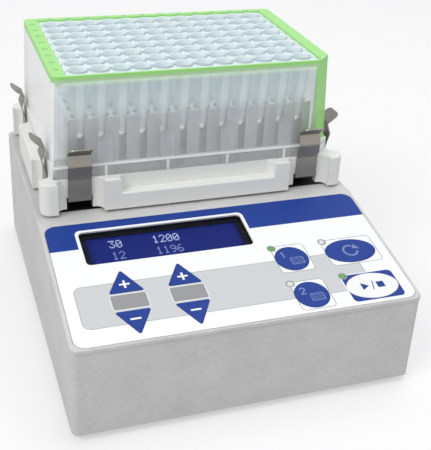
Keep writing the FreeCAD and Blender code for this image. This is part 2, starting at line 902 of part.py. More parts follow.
def make_power_rocker():
    """A rocker with a shallow vee face, tilted at rest to its off side."""
    z = foot_height + fitting_height
    y0, y1 = rocker_axis_y() - rocker_depth / 2 + rocker_gap, rocker_axis_y() + rocker_depth / 2
    half_w, half_h = rocker_width / 2, rocker_height / 2 - rocker_gap
    fall = half_h * math.tan(math.radians(rocker_tilt))
    profile = [(y0 + fall, z - half_h), (y1 - fall, z - half_h), (y1 - fall / 2, z),
               (y1 - fall, z + half_h), (y0 + fall, z + half_h), (y0, z)]
    points = [Vector(switch_x - half_w, y, height) for y, height in profile]
    rocker = extruded(points, Vector(rocker_width, 0, 0))
    reach = rocker_frame_width / 2 - rocker_frame_rim
    pin = Part.makeCylinder(rocker_pin_radius, reach + reach,
                            Vector(switch_x - reach, rocker_axis_y(), z), Vector(1, 0, 0))
    rocker = fused([rocker, pin])
    rocker.rotate(Vector(switch_x, rocker_axis_y(), z), Vector(1, 0, 0), rocker_tilt)
    return rocker


def make_data_port():
    z = foot_height + fitting_height
    back = rear_y - housing_wall
    flange = box(port_x - port_width / 2, port_x + port_width / 2, back - port_flange, back,
                 z - port_height / 2, z + port_height / 2)
    w, h = port_shell_width / 2, port_shell_height / 2
    body = box(port_x - w, port_x + w, back - port_body_depth, rear_y, z - h, z + h)
    port = fused([flange, body])
    w, h = w - port_shell_wall, h - port_shell_wall
    port = port.cut(box(port_x - w, port_x + w, back, rear_y + overrun, z - h, z + h))
    for x in port_stud_xs():
        port = port.cut(lying_rod(x, z, back - port_flange - overrun, back + overrun, port_stud_bore))
    return port


def port_stud_xs():
    return port_x - port_stud_spacing / 2, port_x + port_stud_spacing / 2


def make_port_studs():
    z = foot_height + fitting_height
    back = rear_y - housing_wall
    studs = []
    for x in port_stud_xs():
        head = lying_rod(x, z, back, rear_y, port_stud_radius)
        shank = lying_rod(x, z, back - port_stud_length, rear_y, port_stud_bore)
        studs.append(fused([head, shank]))
    return Part.makeCompound(studs)


def pillar_places():
    half = frame_size / 2 - pillar_edge
    return [(x, drive_y + y) for x in (-half, half) for y in (-half, half)]


def idler_places():
    return [polar(idler_circle_radius, a, 0, drive_y) for a in idler_angles]


def make_frame_pillars():
    pillars = []
    for x, y in pillar_places():
        pillar = rod(x, y, floor_z, frame_low, pillar_radius)
        low_tip, high_tip = foot_height + frame_screw_length, frame_top - frame_screw_length
        pillar = pillar.cut(rod(x, y, floor_z - overrun, low_tip, frame_screw_radius))
        pillar = pillar.cut(rod(x, y, high_tip, frame_low + overrun, frame_screw_radius))
        pillars.append(pillar)
    return Part.makeCompound(pillars)


def screw(x, y, seat, downwards, length, radius, head, head_radius):
    """A screw whose head rests on a seat height, with its shank pointing down or up from there."""
    if downwards:
        cap = rod(x, y, seat, seat + head, head_radius)
        return fused([cap, rod(x, y, seat - length, seat + head, radius)])
    cap = rod(x, y, seat - head, seat, head_radius)
    return fused([cap, rod(x, y, seat - head, seat + length, radius)])


def make_frame_screws():
    """Screws of the pillars, from below and above, and of the motor, sunk in the frame."""
    size = (frame_screw_length, frame_screw_radius, frame_screw_head, frame_screw_head_radius)
    screws = []
    for x, y in pillar_places():
        screws.append(screw(x, y, foot_height, False, *size))
        screws.append(screw(x, y, frame_top, True, *size))
    for x, y in motor_screw_places():
        screws.append(screw(x, y, frame_top - frame_screw_head, True, *size))
    return Part.makeCompound(screws)


def motor_screw_places():
    return [polar(motor_screw_circle_radius, a, 0, drive_y) for a in post_angles]


def make_drive_frame():
    low, top = frame_low, frame_top
    frame = centred_box(0, drive_y, frame_size, frame_size, low, top, pillar_radius)
    cuts = [rod(0, drive_y, low - overrun, top + overrun, motor_bearing_radius)]
    for x, y in pillar_places():
        cuts.append(rod(x, y, low - overrun, top + overrun, frame_screw_radius + slip_clearance))
    for x, y in idler_places():
        cuts.append(rod(x, y, low - overrun, top + overrun, idler_bearing_radius))
    for x, y in motor_screw_places():
        cuts.append(rod(x, y, low - overrun, top + overrun, frame_screw_radius + slip_clearance))
        sink = top - frame_screw_head
        cuts.append(rod(x, y, sink, top + overrun, frame_screw_head_radius + slip_clearance))
    return frame.cut(Part.makeCompound(cuts))


motor_low = frame_low - motor_length


def make_motor_can():
    can = rod(0, drive_y, motor_low, frame_low, motor_radius)
    inner = rod(0, drive_y, motor_low + motor_wall, frame_low - motor_flange, motor_radius - motor_wall)
    seat = rod(0, drive_y, motor_low + motor_wall, motor_low + motor_wall + motor_bearing_width,
               motor_bearing_radius + motor_wall)
    can = fused([can.cut(inner), seat])
    cuts = [rod(0, drive_y, motor_low + motor_wall, frame_low, motor_bearing_radius)]
    cuts.append(rod(0, drive_y, frame_low - motor_flange, frame_low + overrun, motor_bearing_radius))
    for x, y in motor_screw_places():
        low = frame_low - motor_flange - overrun
        cuts.append(rod(x, y, low, frame_low + overrun, frame_screw_radius))
    return can.cut(Part.makeCompound(cuts))


def rotor_limits():
    low = motor_low + motor_wall + motor_bearing_width + rotor_end_gap
    return low, frame_low - motor_flange - rotor_end_gap


def make_motor_stator():
    outer = motor_radius - motor_wall
    z0, z1 = rotor_limits()
    return ring(0, drive_y, z0, z1, outer, rotor_radius + rotor_air_gap)


def make_motor_rotor():
    z0, z1 = rotor_limits()
    return ring(0, drive_y, z0, z1, rotor_radius, shaft_radius)


def make_drive_bearings():
    """The motor shaft's two bearings and the lower bearings of the idler cranks."""
    seats = (motor_low + motor_wall, frame_top - motor_bearing_width)
    bore = shaft_radius + running_fit
    rings = [ring(0, drive_y, z, z + motor_bearing_width, motor_bearing_radius, bore) for z in seats]
    bore = idler_pin_radius + running_fit
    rings += [ring(x, y, frame_low, frame_top, idler_bearing_radius, bore) for x, y in idler_places()]
    return Part.makeCompound(rings)


def make_eccentric_shaft():
    """A shaft with a hub, and a crank pin that stands off its axis by the orbit's radius."""
    hub_low = frame_top + hub_gap
    hub_top = hub_low + hub_height
    shaft = rod(0, drive_y, motor_low + motor_wall, hub_top, shaft_radius)
    hub = rod(0, drive_y, hub_low, hub_top, hub_radius)
    pin = rod(0, tray_y, hub_low, carrier_top - pin_end_gap, pin_radius)
    shoulder = rod(0, tray_y, hub_top - overrun, carrier_low - slip_clearance, pin_radius + slip_clearance)
    return fused([shaft, hub, pin, shoulder])


def make_counterweight():
    """A half disc round the hub, on the side away from the crank pin."""
    low = frame_top + hub_gap
    disc = ring(0, drive_y, low, low + counterweight_height, counterweight_radius, hub_radius)
    reach = counterweight_radius + overrun
    keep = box(-reach, reach, drive_y - reach, drive_y + hub_radius / 2, low - overrun, low + hub_height)
    collar = ring(0, drive_y, low, low + counterweight_height, hub_radius + counterweight_collar, hub_radius)
    return fused([disc.common(keep), collar])


def make_idler_crank(place):
    x, y = place
    disc_low = frame_top + hub_gap
    disc_top = disc_low + hub_height
    lower = rod(x, y, frame_low, disc_top, idler_pin_radius)
    disc = rod(x, y + orbit_radius / 2, disc_low, disc_top, idler_disc_radius)
    upper = rod(x, y + orbit_radius, disc_low, carrier_top - pin_end_gap, idler_pin_radius)
    return fused([lower, disc, upper])


def carrier_idler_places():
    return [(x, y + orbit_radius) for x, y in idler_places()]


def tray_post_places():
    return [polar(post_circle_radius, a, 0, tray_y) for a in post_angles]


def make_carrier_plate():
    plate = rod(0, tray_y, carrier_low, carrier_top, carrier_radius)
    cuts = [rod(0, tray_y, carrier_low - overrun, carrier_top + overrun, eccentric_bearing_radius)]
    for x, y in carrier_idler_places():
        cuts.append(rod(x, y, carrier_low - overrun, carrier_top + overrun, idler_bearing_radius))
    for x, y in tray_post_places():
        hole = tray_screw_radius + slip_clearance
        cuts.append(rod(x, y, carrier_low - overrun, carrier_top + overrun, hole))
        sink = carrier_low + tray_screw_head
        cuts.append(rod(x, y, carrier_low - overrun, sink, tray_screw_head_radius + slip_clearance))
    return plate.cut(Part.makeCompound(cuts))


def make_carrier_bearings():
    rings = [ring(0, tray_y, carrier_low, carrier_top, eccentric_bearing_radius, pin_radius + running_fit)]
    for x, y in carrier_idler_places():
        bore = idler_pin_radius + running_fit
        rings.append(ring(x, y, carrier_low, carrier_top, idler_bearing_radius, bore))
    return Part.makeCompound(rings)


def make_carrier_posts():
    posts = []
    for x, y in tray_post_places():
        post = rod(x, y, carrier_top, tray_inner_top, post_radius)
        bore = rod(x, y, carrier_top - overrun, tray_inner_top + overrun, tray_screw_radius)
        posts.append(post.cut(bore))
    return Part.makeCompound(posts)


def make_tray_screws():
    """Screws down into the posts, up through the carrier plate, and up into the adapter block."""
    size = (tray_screw_length, tray_screw_radius, tray_screw_head, tray_screw_head_radius)
    screws = []
    for x, y in tray_post_places():
        screws.append(screw(x, y, tray_top - tray_screw_head, True, *size))
        screws.append(screw(x, y, carrier_low + tray_screw_head, False, *size))
    for x, y in adapter_screw_places():
        screws.append(screw(x, tray_y + y, tray_inner_top, False, *size))
    return Part.makeCompound(screws)


def clip_sites():
    """Each clip's name, the turn about the tray's middle that faces it, its side distance and its reach."""
    long_side, short_side = plate_width / 2, plate_length / 2
    return [
        ("clip_front_left", facing_front, -long_clip_offset, long_side),
        ("clip_front_right", facing_front, long_clip_offset, long_side),
        ("clip_right_front", facing_right, -short_clip_offset, short_side),
        ("clip_right_rear", facing_right, short_clip_offset, short_side),
        ("clip_rear_right", facing_rear, -long_clip_offset, long_side),
        ("clip_rear_left", facing_rear, long_clip_offset, long_side),
        ("clip_left_rear", facing_left, -short_clip_offset, short_side),
        ("clip_left_front", facing_left, short_clip_offset, short_side),
    ]


def at_clip(shape, turn):
    """Turns a shape drawn at the front of a tray centred on the origin to its own side of the tray."""
    placed = shape.copy()
    placed.rotate(Vector(0, 0, 0), Vector(0, 0, 1), turn)
    placed.translate(Vector(0, tray_y, 0))
    return placed


clip_foot_z = tray_low + clip_foot_height
clip_centre_setback = clip_clearance + clip_thickness / 2


def clip_screw_inward():
    return clip_foot_length - clip_screw_from_end - clip_centre_setback


def make_clip(turn, sideways, reach):
    """A bent strip: a foot under the tray, an upright blade, an outward bulge and a flared tip."""
    line = -reach - clip_centre_setback
    foot_z = clip_foot_z
    points = [(line + clip_foot_length, foot_z), (line, foot_z), (line, tray_low + clip_blade_top)]
    points.append((line - clip_bulge_out, tray_low + clip_bulge_height))
    points.append((line, tray_low + clip_press_height))
    points.append((line - clip_flare_out, tray_low + clip_press_height + clip_flare_rise))
    strip = bent_strip(points, clip_bend, clip_thickness).extrude(Vector(clip_width, 0, 0))
    strip.translate(Vector(sideways - clip_width / 2, 0, 0))
    tip_z = tray_low + clip_press_height + clip_flare_rise - clip_tip_corner / 2
    tips = [e for e in strip.Edges if e.Length < clip_thickness + clip_thickness and e.CenterOfMass.z > tip_z]
    strip = strip.makeFillet(clip_tip_corner, tips)
    y = -reach + clip_screw_inward()
    hole = rod(sideways, y, foot_z - overrun, foot_z + overrun, clip_screw_radius + clip_hole_clearance)
    return at_clip(strip.cut(hole), turn)


def make_clip_screws():
    screws = []
    for name, turn, sideways, reach in clip_sites():
        y = -reach + clip_screw_inward()
        low = clip_foot_z - clip_thickness / 2 - clip_foot_clearance
        head = rod(sideways, y, low - clip_screw_head, low, clip_screw_head_radius)
        shank = rod(sideways, y, low - clip_screw_head, boss_low() + clip_screw_bite, clip_screw_radius)
        screws.append(at_clip(fused([head, shank]), turn))
    return Part.makeCompound(screws)


def boss_low():
    return clip_foot_z + clip_thickness / 2 + clip_foot_clearance


def tray_rim(edge):
    """True for the edges round the tray's top face and along the lip of each finger ledge."""
    low, high = edge.BoundBox.ZMin, edge.BoundBox.ZMax
    if high - low > overrun / 2:
        return False
    if abs(high - tray_top) < overrun / 2:
        return True
    outside = tray_depth / 2 - abs(edge.CenterOfMass.y) < overrun / 2
    return outside and abs(high - tray_low - ledge_height) < overrun / 2


def make_shaking_tray():
    half_w, half_d = tray_width / 2, tray_depth / 2
    tray = rounded_box(-half_w, half_w, -half_d, half_d, tray_low, tray_top, tray_corner)
    cuts, bosses = [], []
    cavity_w = plate_length / 2 - tray_wall
    cavity_d = plate_width / 2 - tray_wall
    cuts.append(box(-cavity_w, cavity_w, -cavity_d, cavity_d, tray_low - overrun, tray_inner_top))
    for turn in (facing_front, facing_rear):
        ledge = rounded_box(-ledge_length / 2, ledge_length / 2, -half_d - ledge_corner - overrun,
                            -half_d + ledge_depth, tray_low + ledge_height, tray_top + overrun, ledge_corner)
        ledge.rotate(Vector(0, 0, 0), Vector(0, 0, 1), turn)
        cuts.append(ledge)
    for name, turn, sideways, reach in clip_sites():
        outer = half_d if turn in (facing_front, facing_rear) else half_w
        recess = rounded_box(sideways - clip_recess_width / 2, sideways + clip_recess_width / 2,
                             -outer - clip_recess_corner - overrun, -reach,
                             tray_low - overrun, tray_top + overrun, clip_recess_corner)
        slot = centred_box(sideways, -reach + tray_wall / 2, clip_width + clip_slot_clearance * 2,
                           tray_wall + overrun + overrun, tray_low - overrun, tray_low + clip_slot_height)
        y = -reach + clip_screw_inward()
        low = boss_low()
        boss = centred_box(sideways, y, clip_boss_width, clip_boss_length, low, tray_inner_top + overrun)
        boss = boss.cut(rod(sideways, y, low - overrun, low + clip_screw_bite, clip_screw_radius))
        for shape in (recess, slot, boss):
            shape.rotate(Vector(0, 0, 0), Vector(0, 0, 1), turn)
        cuts += [recess, slot]
        bosses.append(boss)
    tray = tray.cut(Part.makeCompound(cuts))
    rims = [e for e in tray.Edges if tray_rim(e)]
    tray = tray.makeFillet(tray_edge_round, rims)
    tray = fused([tray] + bosses)
    holes = []
    clear = tray_screw_radius + slip_clearance
    for a in post_angles:
        x, y = polar(post_circle_radius, a)
        holes.append(rod(x, y, tray_inner_top - overrun, tray_top + overrun, clear))
        sink = tray_top - tray_screw_head
        holes.append(rod(x, y, sink, tray_top + overrun, tray_screw_head_radius + slip_clearance))
    for x, y in adapter_screw_places():
        holes.append(rod(x, y, tray_inner_top - overrun, tray_top + overrun, clear))
    tray = tray.cut(Part.makeCompound(holes))
    tray.translate(Vector(0, tray_y, 0))
    return tray


def first_well():
    """How far the outermost wells stand from the plate's middle, along and across."""
    return plate_length / 2 - well_column_from_end, plate_width / 2 - well_row_from_side


def adapter_screw_places():
    """Between the two outermost columns and rows of wells, near each corner of the block."""
    first_x, first_y = first_well()
    half_x = first_x - first_x / (well_columns - 1)
    half_y = first_y - first_y / (well_rows - 1)
    return [(x, y) for x in (-half_x, half_x) for y in (-half_y, half_y)]


def well_places():
    first_x, first_y = first_well()
    xs = [first_x * (i * 2 / (well_columns - 1) - 1) for i in range(well_columns)]
    ys = [first_y * (j * 2 / (well_rows - 1) - 1) for j in range(well_rows)]
    return [(x, tray_y + y) for x in xs for y in ys]


def make_adapter_block():
    block = centred_box(0, tray_y, adapter_length, adapter_width, plate_seat, plate_seat + adapter_height)
    floor = plate_seat + adapter_hole_floor
    top = plate_seat + adapter_height + overrun
    cuts = [rod(x, y, floor, top, adapter_hole_radius) for x, y in well_places()]
    for x, y in adapter_screw_places():
        end = tray_inner_top + tray_screw_length
        cuts.append(rod(x, tray_y + y, plate_seat - overrun, end, tray_screw_radius))
    return block.cut(Part.makeCompound(cuts))


def plate_outline(inset, z):
    """The plate's outline, drawn in by an inset: round corners, and one cut corner at the front right."""
    half_x, half_y = plate_length / 2 - inset, plate_width / 2 - inset
    diagonal = plate_corner * (1 - math.cos(math.radians(45)))
    start = Vector(half_x - plate_notch, tray_y - half_y, z)
    end = Vector(half_x, tray_y - half_y + plate_notch, z)
    edges = [Part.LineSegment(start, end)]
    for sx, sy in ((1, 1), (-1, 1), (-1, -1)):
        corner = Vector(sx * half_x, tray_y + sy * half_y, z)
        middle = corner - Vector(sx * diagonal, sy * diagonal, 0)
        along_x = corner - Vector(sx * plate_corner, 0, 0)
        along_y = corner - Vector(0, sy * plate_corner, 0)
        first, last = (along_y, along_x) if sx == sy else (along_x, along_y)
        edges += [Part.LineSegment(end, first), Part.Arc(first, middle, last)]
        end = last
    edges.append(Part.LineSegment(end, start))
    return Part.Wire([e.toShape() for e in edges])


def plate_loft(low_inset, low, high_inset, high):
    return Part.makeLoft([plate_outline(low_inset, low), plate_outline(high_inset, high)], True, True)


def well_profile(grow, top, tip):
    """Half the outline of a well or of the tube round it, for turning about its axis."""
    seat = plate_seat
    neck, low, shoulder = seat + well_neck_height, seat + well_low_height, seat + well_shoulder_height
    radii = (well_rim_radius, well_rim_radius, well_neck_radius, well_low_radius, well_tip_radius)
    outline = [(radius + grow, z) for radius, z in zip(radii, (top, shoulder, neck, low, tip))]
    return [(0, top)] + outline + [(0, tip)]


def turned(profile, x, y):
    points = [Vector(x + r, y, z) for r, z in profile]
    wire = Part.makePolygon(points + [points[0]])
    return Part.Face(wire).revolve(Vector(x, y, 0), Vector(0, 0, 1), 360)


def make_deepwell_plate():
    seat = plate_seat
    skirt_top = seat + plate_skirt_height
    deck_top = seat + plate_height - plate_deck_drop
    skirt = plate_loft(0, seat, 0, skirt_top)
    wall = plate_loft(wall_inset_low, skirt_top, wall_inset_high, deck_top)
    inner_skirt = plate_loft(plate_wall, seat - overrun, plate_wall, skirt_top - plate_wall)
    inner_low = wall_inset_low + plate_wall
    inner_high = wall_inset_high + plate_wall
    inner_wall = plate_loft(inner_low, skirt_top - plate_wall, inner_high, deck_top - plate_deck_thickness)
    shell = fused([skirt, wall]).cut(fused([inner_skirt, inner_wall]))
    ribs = [rib.common(skirt) for rib in skirt_ribs(skirt_top - plate_wall)]
    x0, x1, y0, y1 = border_opening()
    gap = border_gap
    plateau_top = seat + plate_height - plateau_drop
    plateau = box(x0 + gap, x1 - gap, y0 + gap, y1 - gap, deck_top - plate_deck_thickness, plateau_top)
    rim_top = plateau_top + well_rim_rise
    tubes = [turned(well_profile(0, rim_top, seat + well_tip_height), x, y) for x, y in well_places()]
    body = fused([shell, plateau] + ribs + tubes)
    tip = seat + well_tip_height + well_wall
    wells = [turned(well_profile(-well_wall, rim_top + overrun, tip), x, y) for x, y in well_places()]
    body = body.cut(Part.makeCompound(wells))
    strip = corner_strip(seat + plate_skirt_height, deck_top + overrun, border_gap)
    return body.cut(strip)


def skirt_ribs(top):
    """Upright ribs behind the long sides of the skirt."""
    middle = plate_width / 2 - plate_wall - rib_depth / 2 + slip_clearance
    low = plate_seat + slip_clearance
    ribs = []
    for i in range(rib_count):
        x = (i - (rib_count - 1) / 2) * rib_pitch
        for side in (-1, 1):
            y = tray_y + side * middle
            ribs.append(centred_box(x, y, rib_thickness, rib_depth + slip_clearance, low, top))
    return ribs


def border_opening():
    half_x, half_y = plate_length / 2 - wall_inset_high, plate_width / 2 - wall_inset_high
    low, high = tray_y - half_y, tray_y + half_y
    return -half_x + border_left, half_x - border_right, low + border_front, high - border_rear


def corner_strip(z0, z1, grow):
    """A slab on the plate's cut corner, as deep as the strip is thick."""
    half_x, half_y = plate_length / 2 - wall_inset_high, plate_width / 2 - wall_inset_high
    cut = plate_notch
    depth = (corner_strip_thickness + grow) * math.sqrt(2)
    outer = wall_inset_high
    points = [(half_x - cut - depth, -half_y), (half_x - cut + outer, -half_y - outer),
              (half_x + outer, -half_y + cut - outer), (half_x, -half_y + cut + depth)]
    points = [Vector(x, tray_y + y, z0) for x, y in points]
    return extruded(points, Vector(0, 0, z1 - z0))


def make_plate_border():
    seat = plate_seat
    low = seat + plate_height - plate_deck_drop
    top = seat + plate_height
    outline = plate_loft(wall_inset_high, low, wall_inset_high, top)
    x0, x1, y0, y1 = border_opening()
    frame = outline.cut(box(x0, x1, y0, y1, low - overrun, top + overrun))
    envelope = plate_loft(wall_inset_low, seat + plate_skirt_height, wall_inset_high, low)
    strip = corner_strip(seat + plate_skirt_height + border_gap, low, 0).common(envelope)
    return fused([frame, strip])


os.makedirs("parts", exist_ok=True)

save("top_cover", make_top_cover())
save("lower_housing", make_lower_housing())
save("base_plate", make_base_plate())
save("rubber_feet", make_feet())
save("corner_screws", make_corner_screws())
save("control_overlay", make_control_overlay())
save("display_window", make_display_window())
save("display_frame", make_display_frame())
save("display_glass", make_display_glass())
save("display_board", make_display_board())
save("keypad_board", make_keypad_board())
save("key_switches", make_key_switches())
save("status_lights", make_status_lights())
for key_name, key_outline in key_outlines().items():
    save(key_name, make_key(key_outline))
save("board_screws", make_board_screws())
save("main_board", make_main_board())
save("board_standoffs", make_standoffs())
save("board_parts", make_board_parts())
save("ribbon_cable", make_ribbon_cable())
save("power_inlet", make_power_inlet())
save("rocker_frame", make_rocker_frame())
save("power_rocker", make_power_rocker())
save("data_port", make_data_port())
save("port_studs", make_port_studs())
save("frame_pillars", make_frame_pillars())
save("frame_screws", make_frame_screws())
save("drive_frame", make_drive_frame())
save("motor_can", make_motor_can())
save("motor_stator", make_motor_stator())
save("motor_rotor", make_motor_rotor())
save("drive_bearings", make_drive_bearings())
save("eccentric_shaft", make_eccentric_shaft())
save("counterweight", make_counterweight())
for idler_name, idler_place in zip(("idler_rear", "idler_left", "idler_right"), idler_places()):
    save(idler_name, make_idler_crank(idler_place))
save("carrier_plate", make_carrier_plate())
save("carrier_bearings", make_carrier_bearings())
save("carrier_posts", make_carrier_posts())
save("tray_screws", make_tray_screws())
save("shaking_tray", make_shaking_tray())
for clip_name, clip_turn, clip_side, clip_reach in clip_sites():
    save(clip_name, make_clip(clip_turn, clip_side, clip_reach))
save("clip_screws", make_clip_screws())
save("adapter_block", make_adapter_block())
save("deepwell_plate", make_deepwell_plate())
save("plate_border", make_plate_border())
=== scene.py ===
import math
import bmesh
import bpy
from mathutils import Matrix, Vector


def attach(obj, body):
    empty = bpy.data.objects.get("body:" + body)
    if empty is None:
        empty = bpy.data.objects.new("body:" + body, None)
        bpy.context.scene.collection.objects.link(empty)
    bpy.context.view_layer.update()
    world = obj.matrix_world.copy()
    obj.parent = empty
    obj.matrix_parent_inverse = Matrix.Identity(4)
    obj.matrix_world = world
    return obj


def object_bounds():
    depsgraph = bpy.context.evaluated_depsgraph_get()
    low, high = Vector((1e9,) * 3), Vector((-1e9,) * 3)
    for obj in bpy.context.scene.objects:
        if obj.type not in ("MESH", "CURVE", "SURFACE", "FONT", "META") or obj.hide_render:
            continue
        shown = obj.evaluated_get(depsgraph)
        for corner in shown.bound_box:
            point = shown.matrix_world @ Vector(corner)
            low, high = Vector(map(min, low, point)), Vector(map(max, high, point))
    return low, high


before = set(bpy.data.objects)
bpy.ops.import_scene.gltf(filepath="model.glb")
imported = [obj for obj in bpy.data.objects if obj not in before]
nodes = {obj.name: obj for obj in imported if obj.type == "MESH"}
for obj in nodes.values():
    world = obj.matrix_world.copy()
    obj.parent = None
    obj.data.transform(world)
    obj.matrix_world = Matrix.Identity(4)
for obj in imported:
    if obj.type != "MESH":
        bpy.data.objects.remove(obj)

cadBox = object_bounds()
mm = 0.001
print("frame loaded:", len(nodes), "nodes")


class Socket:
    # one output of a shader node, so that shader maths reads like maths
    def __init__(self, tree, output=None):
        self.tree = tree
        self.output = output

    def plug(self, target, value):
        if isinstance(value, Socket):
            self.tree.links.new(value.output, target)
        else:
            target.default_value = value

    def add(self, kind, settings=None, inputs=None, output=0):
        # any other node: its type, its settings, and the values or links of its sockets
        made = self.tree.nodes.new("ShaderNode" + kind)
        for name, value in (settings or {}).items():
            setattr(made, name, value)
        for name, value in (inputs or {}).items():
            self.plug(made.inputs[name], value)
        return Socket(self.tree, made.outputs[output])

    def maths(self, operation, first, second=0.0):
        return self.add("Math", {"operation": operation}, {0: first, 1: second})

    def __add__(self, other):
        return self.maths("ADD", self, other)

    def __radd__(self, other):
        return self.maths("ADD", other, self)

    def __sub__(self, other):
        return self.maths("SUBTRACT", self, other)

    def __rsub__(self, other):
        return self.maths("SUBTRACT", other, self)

    def __mul__(self, other):
        return self.maths("MULTIPLY", self, other)

    def __rmul__(self, other):
        return self.maths("MULTIPLY", other, self)

    def __truediv__(self, other):
        return self.maths("DIVIDE", self, other)

    def __abs__(self):
        return self.maths("ABSOLUTE", self)

    def larger(self, other):
        return self.maths("MAXIMUM", self, other)

    def root(self):
        return self.maths("SQRT", self)

    def fraction(self):
        return self.maths("FRACT", self)

    def clamped(self):
        return self.add("Clamp", inputs={"Value": self})

    def mixed(self, low, high):
        # a colour between two colours, by this factor; sockets 6, 7 and 2 are the node's colours
        return self.add("Mix", {"data_type": "RGBA"}, {0: self, 6: low, 7: high}, 2)

    def ownPlace(self):
        # the shaded place along the object's own axes
        return self.add("TexCoord", output="Object")

    def noise(self, scale, detail=3.0, rough=0.5, stretch=(1, 1, 1)):
        place = self.add("Mapping", inputs={"Vector": self.ownPlace(), "Scale": stretch})
        inputs = {"Vector": place, "Scale": scale, "Detail": detail, "Roughness": rough}
        return self.add("TexNoise", inputs=inputs)


def rgb(red, green, blue):
    # a screen colour from 0 to 255 as a linear colour
    def linear(value):
        share = value / 255
        return share / 12.92 if share <= 0.04045 else ((share + 0.055) / 1.055) ** 2.4
    return (linear(red), linear(green), linear(blue), 1.0)


blue = rgb(33, 64, 148)
white = rgb(243, 244, 244)
unlit = (0, 0, 0, 1)


def shaded(colour, share):
    # a colour made darker by a share
    return tuple(part * (1 - share) for part in colour[:3]) + (1.0,)


def material(name, roughness=0.5, metallic=0.0, **extra):
    # a material with one Principled shader; returns it, the shader and a socket to build from
    made = bpy.data.materials.new(name)
    made.use_nodes = True
    tree = made.node_tree
    shader = tree.nodes["Principled BSDF"]
    shader.inputs["Roughness"].default_value = roughness
    shader.inputs["Metallic"].default_value = metallic
    for key, value in extra.items():
        shader.inputs[key.replace("_", " ")].default_value = value
    return made, shader, Socket(tree)


def roughened(kit, shader, mask, low, spread):
    kit.plug(shader.inputs["Roughness"], low + mask * spread)


def bumped(kit, shader, height, strength, distance):
    normal = kit.add("Bump", inputs={"Height": height, "Strength": strength, "Distance": distance})
    kit.plug(shader.inputs["Normal"], normal)


def paint(made, *names):
    # gives CAD nodes a material
    for name in names:
        for place in nodes[name].material_slots:
            place.material = made


# the sloped panel: its plane is read from the overlay's largest flat face
panelLook = {"facingUp": 0.9, "overlayStep": 0.0002}
overlayMesh = nodes["control_overlay"].data
flatFaces = [face for face in overlayMesh.polygons if face.normal.z > panelLook["facingUp"]]
panelNormal = max(flatFaces, key=lambda face: face.area).normal.normalized()
panelUp = panelNormal.cross(Vector((1, 0, 0))).normalized()
coverHeight = max(vert.co.dot(panelNormal) for vert in overlayMesh.vertices) - panelLook["overlayStep"]
frontY = cadBox[0][1]
coverFront = Vector((0, frontY, (coverHeight - frontY * panelNormal.y) / panelNormal.z))
panelOrigin = coverFront + panelNormal * panelLook["overlayStep"]
panelTurn = Matrix((Vector((1, 0, 0)), panelUp, panelNormal)).transposed().to_4x4()
panelPlace = Matrix.Translation(panelOrigin) @ panelTurn
print("panel slope:", round(math.degrees(math.acos(panelNormal.z)), 2))


def panelPoint(place, lift):
    return panelPlace @ Vector((place[0] * mm, place[1] * mm, lift * mm))


def panelAcross(kit):
    # millimetres across and up the panel, as sockets
    place = kit.ownPlace()
    sockets = []
    for axis in (Vector((1, 0, 0)), panelUp):
        along = kit.add("VectorMath", {"operation": "DOT_PRODUCT"}, {0: place, 1: tuple(axis)}, 1)
        sockets.append((along - panelOrigin.dot(axis)) / mm)
    return sockets


def spot(kit):
    # millimetres along the object's own axes, as sockets
    split = kit.add("SeparateXYZ", inputs={0: kit.ownPlace()}).output.node
    return [Socket(kit.tree, output) / mm for output in split.outputs]


def above(value, level, soft):
    # 0 below a level and 1 above it, with a soft step between
    return (0.5 + (value - level) / soft).clamped()


def below(value, level, soft):
    return 1.0 - above(value, level, soft)


def weighed(shares, *masks):
    # the first share, and each of the others times its mask
    total = shares[0]
    for share, mask in zip(shares[1:], masks):
        total = total + mask * share
    return total


def boxMask(across, up, shape, grow=0.0, soft=0.08):
    # 1 inside a box with round corners: centre x, centre y, width, height, corner
    x, y, width, height, corner = shape
    corner = corner + grow
    overX = (abs(across - x) - (width / 2 + grow - corner)).larger(0.0)
    overY = (abs(up - y) - (height / 2 + grow - corner)).larger(0.0)
    return (0.5 - ((overX * overX + overY * overY).root() - corner) / soft).clamped()


def ringMask(across, up, place, inner, outer, soft=0.08):
    awayX, awayY = across - place[0], up - place[1]
    away = (awayX * awayX + awayY * awayY).root()
    return (0.5 - (away - outer) / soft).clamped() * (0.5 + (away - inner) / soft).clamped()


# in each look, roughness is the plain value behind the pattern, rough is the pattern's least roughness and
# its spread, a noise is its scale, detail, roughness and stretch, bump is a strength and a distance, a mask
# is its level and the softness of its step, and tone, clear and glow are a plain part and each mask's share
casingLook = {
    "roughness": 0.5, "dark": rgb(174, 174, 174), "light": rgb(232, 232, 231), "black": rgb(12, 12, 16),
    "grain": (1500, 4.0, 0.6, (0.4, 1, 1)), "cloud": (60, 3.0), "grainShare": 0.6, "cloudShare": 0.4,
    "rough": (0.42, 0.2), "bump": (0.2, 0.0003), "liner": (-21.1, 53.5, 71.6, 21.2, 2.4),
    "under": (0, 37, 127.2, 85.2, 2.5), "underSoft": 0.6, "deck": (50.0, 1.0),
}


def casingMaterial():
    look = casingLook
    made, shader, kit = material("casing grain", look["roughness"])
    grain, cloud = kit.noise(*look["grain"]), kit.noise(*look["cloud"])
    mottle = grain * look["grainShare"] + cloud * look["cloudShare"]
    colour = mottle.mixed(look["dark"], look["light"])
    # the black liner of the display's opening, and painted shade: the deck under the tray is painted black
    # where shadow falls
    liner = boxMask(*panelAcross(kit), look["liner"])
    x, y, z = spot(kit)
    under = boxMask(x, y, look["under"], soft=look["underSoft"]) * above(z, *look["deck"])
    for mask in (liner, under):
        colour = mask.mixed(colour, look["black"])
    kit.plug(shader.inputs["Base Color"], colour)
    roughened(kit, shader, grain, *look["rough"])
    bumped(kit, shader, grain, *look["bump"])
    return made


plasticLook = {"detail": 3.0, "spread": 0.1, "depth": 0.0002}


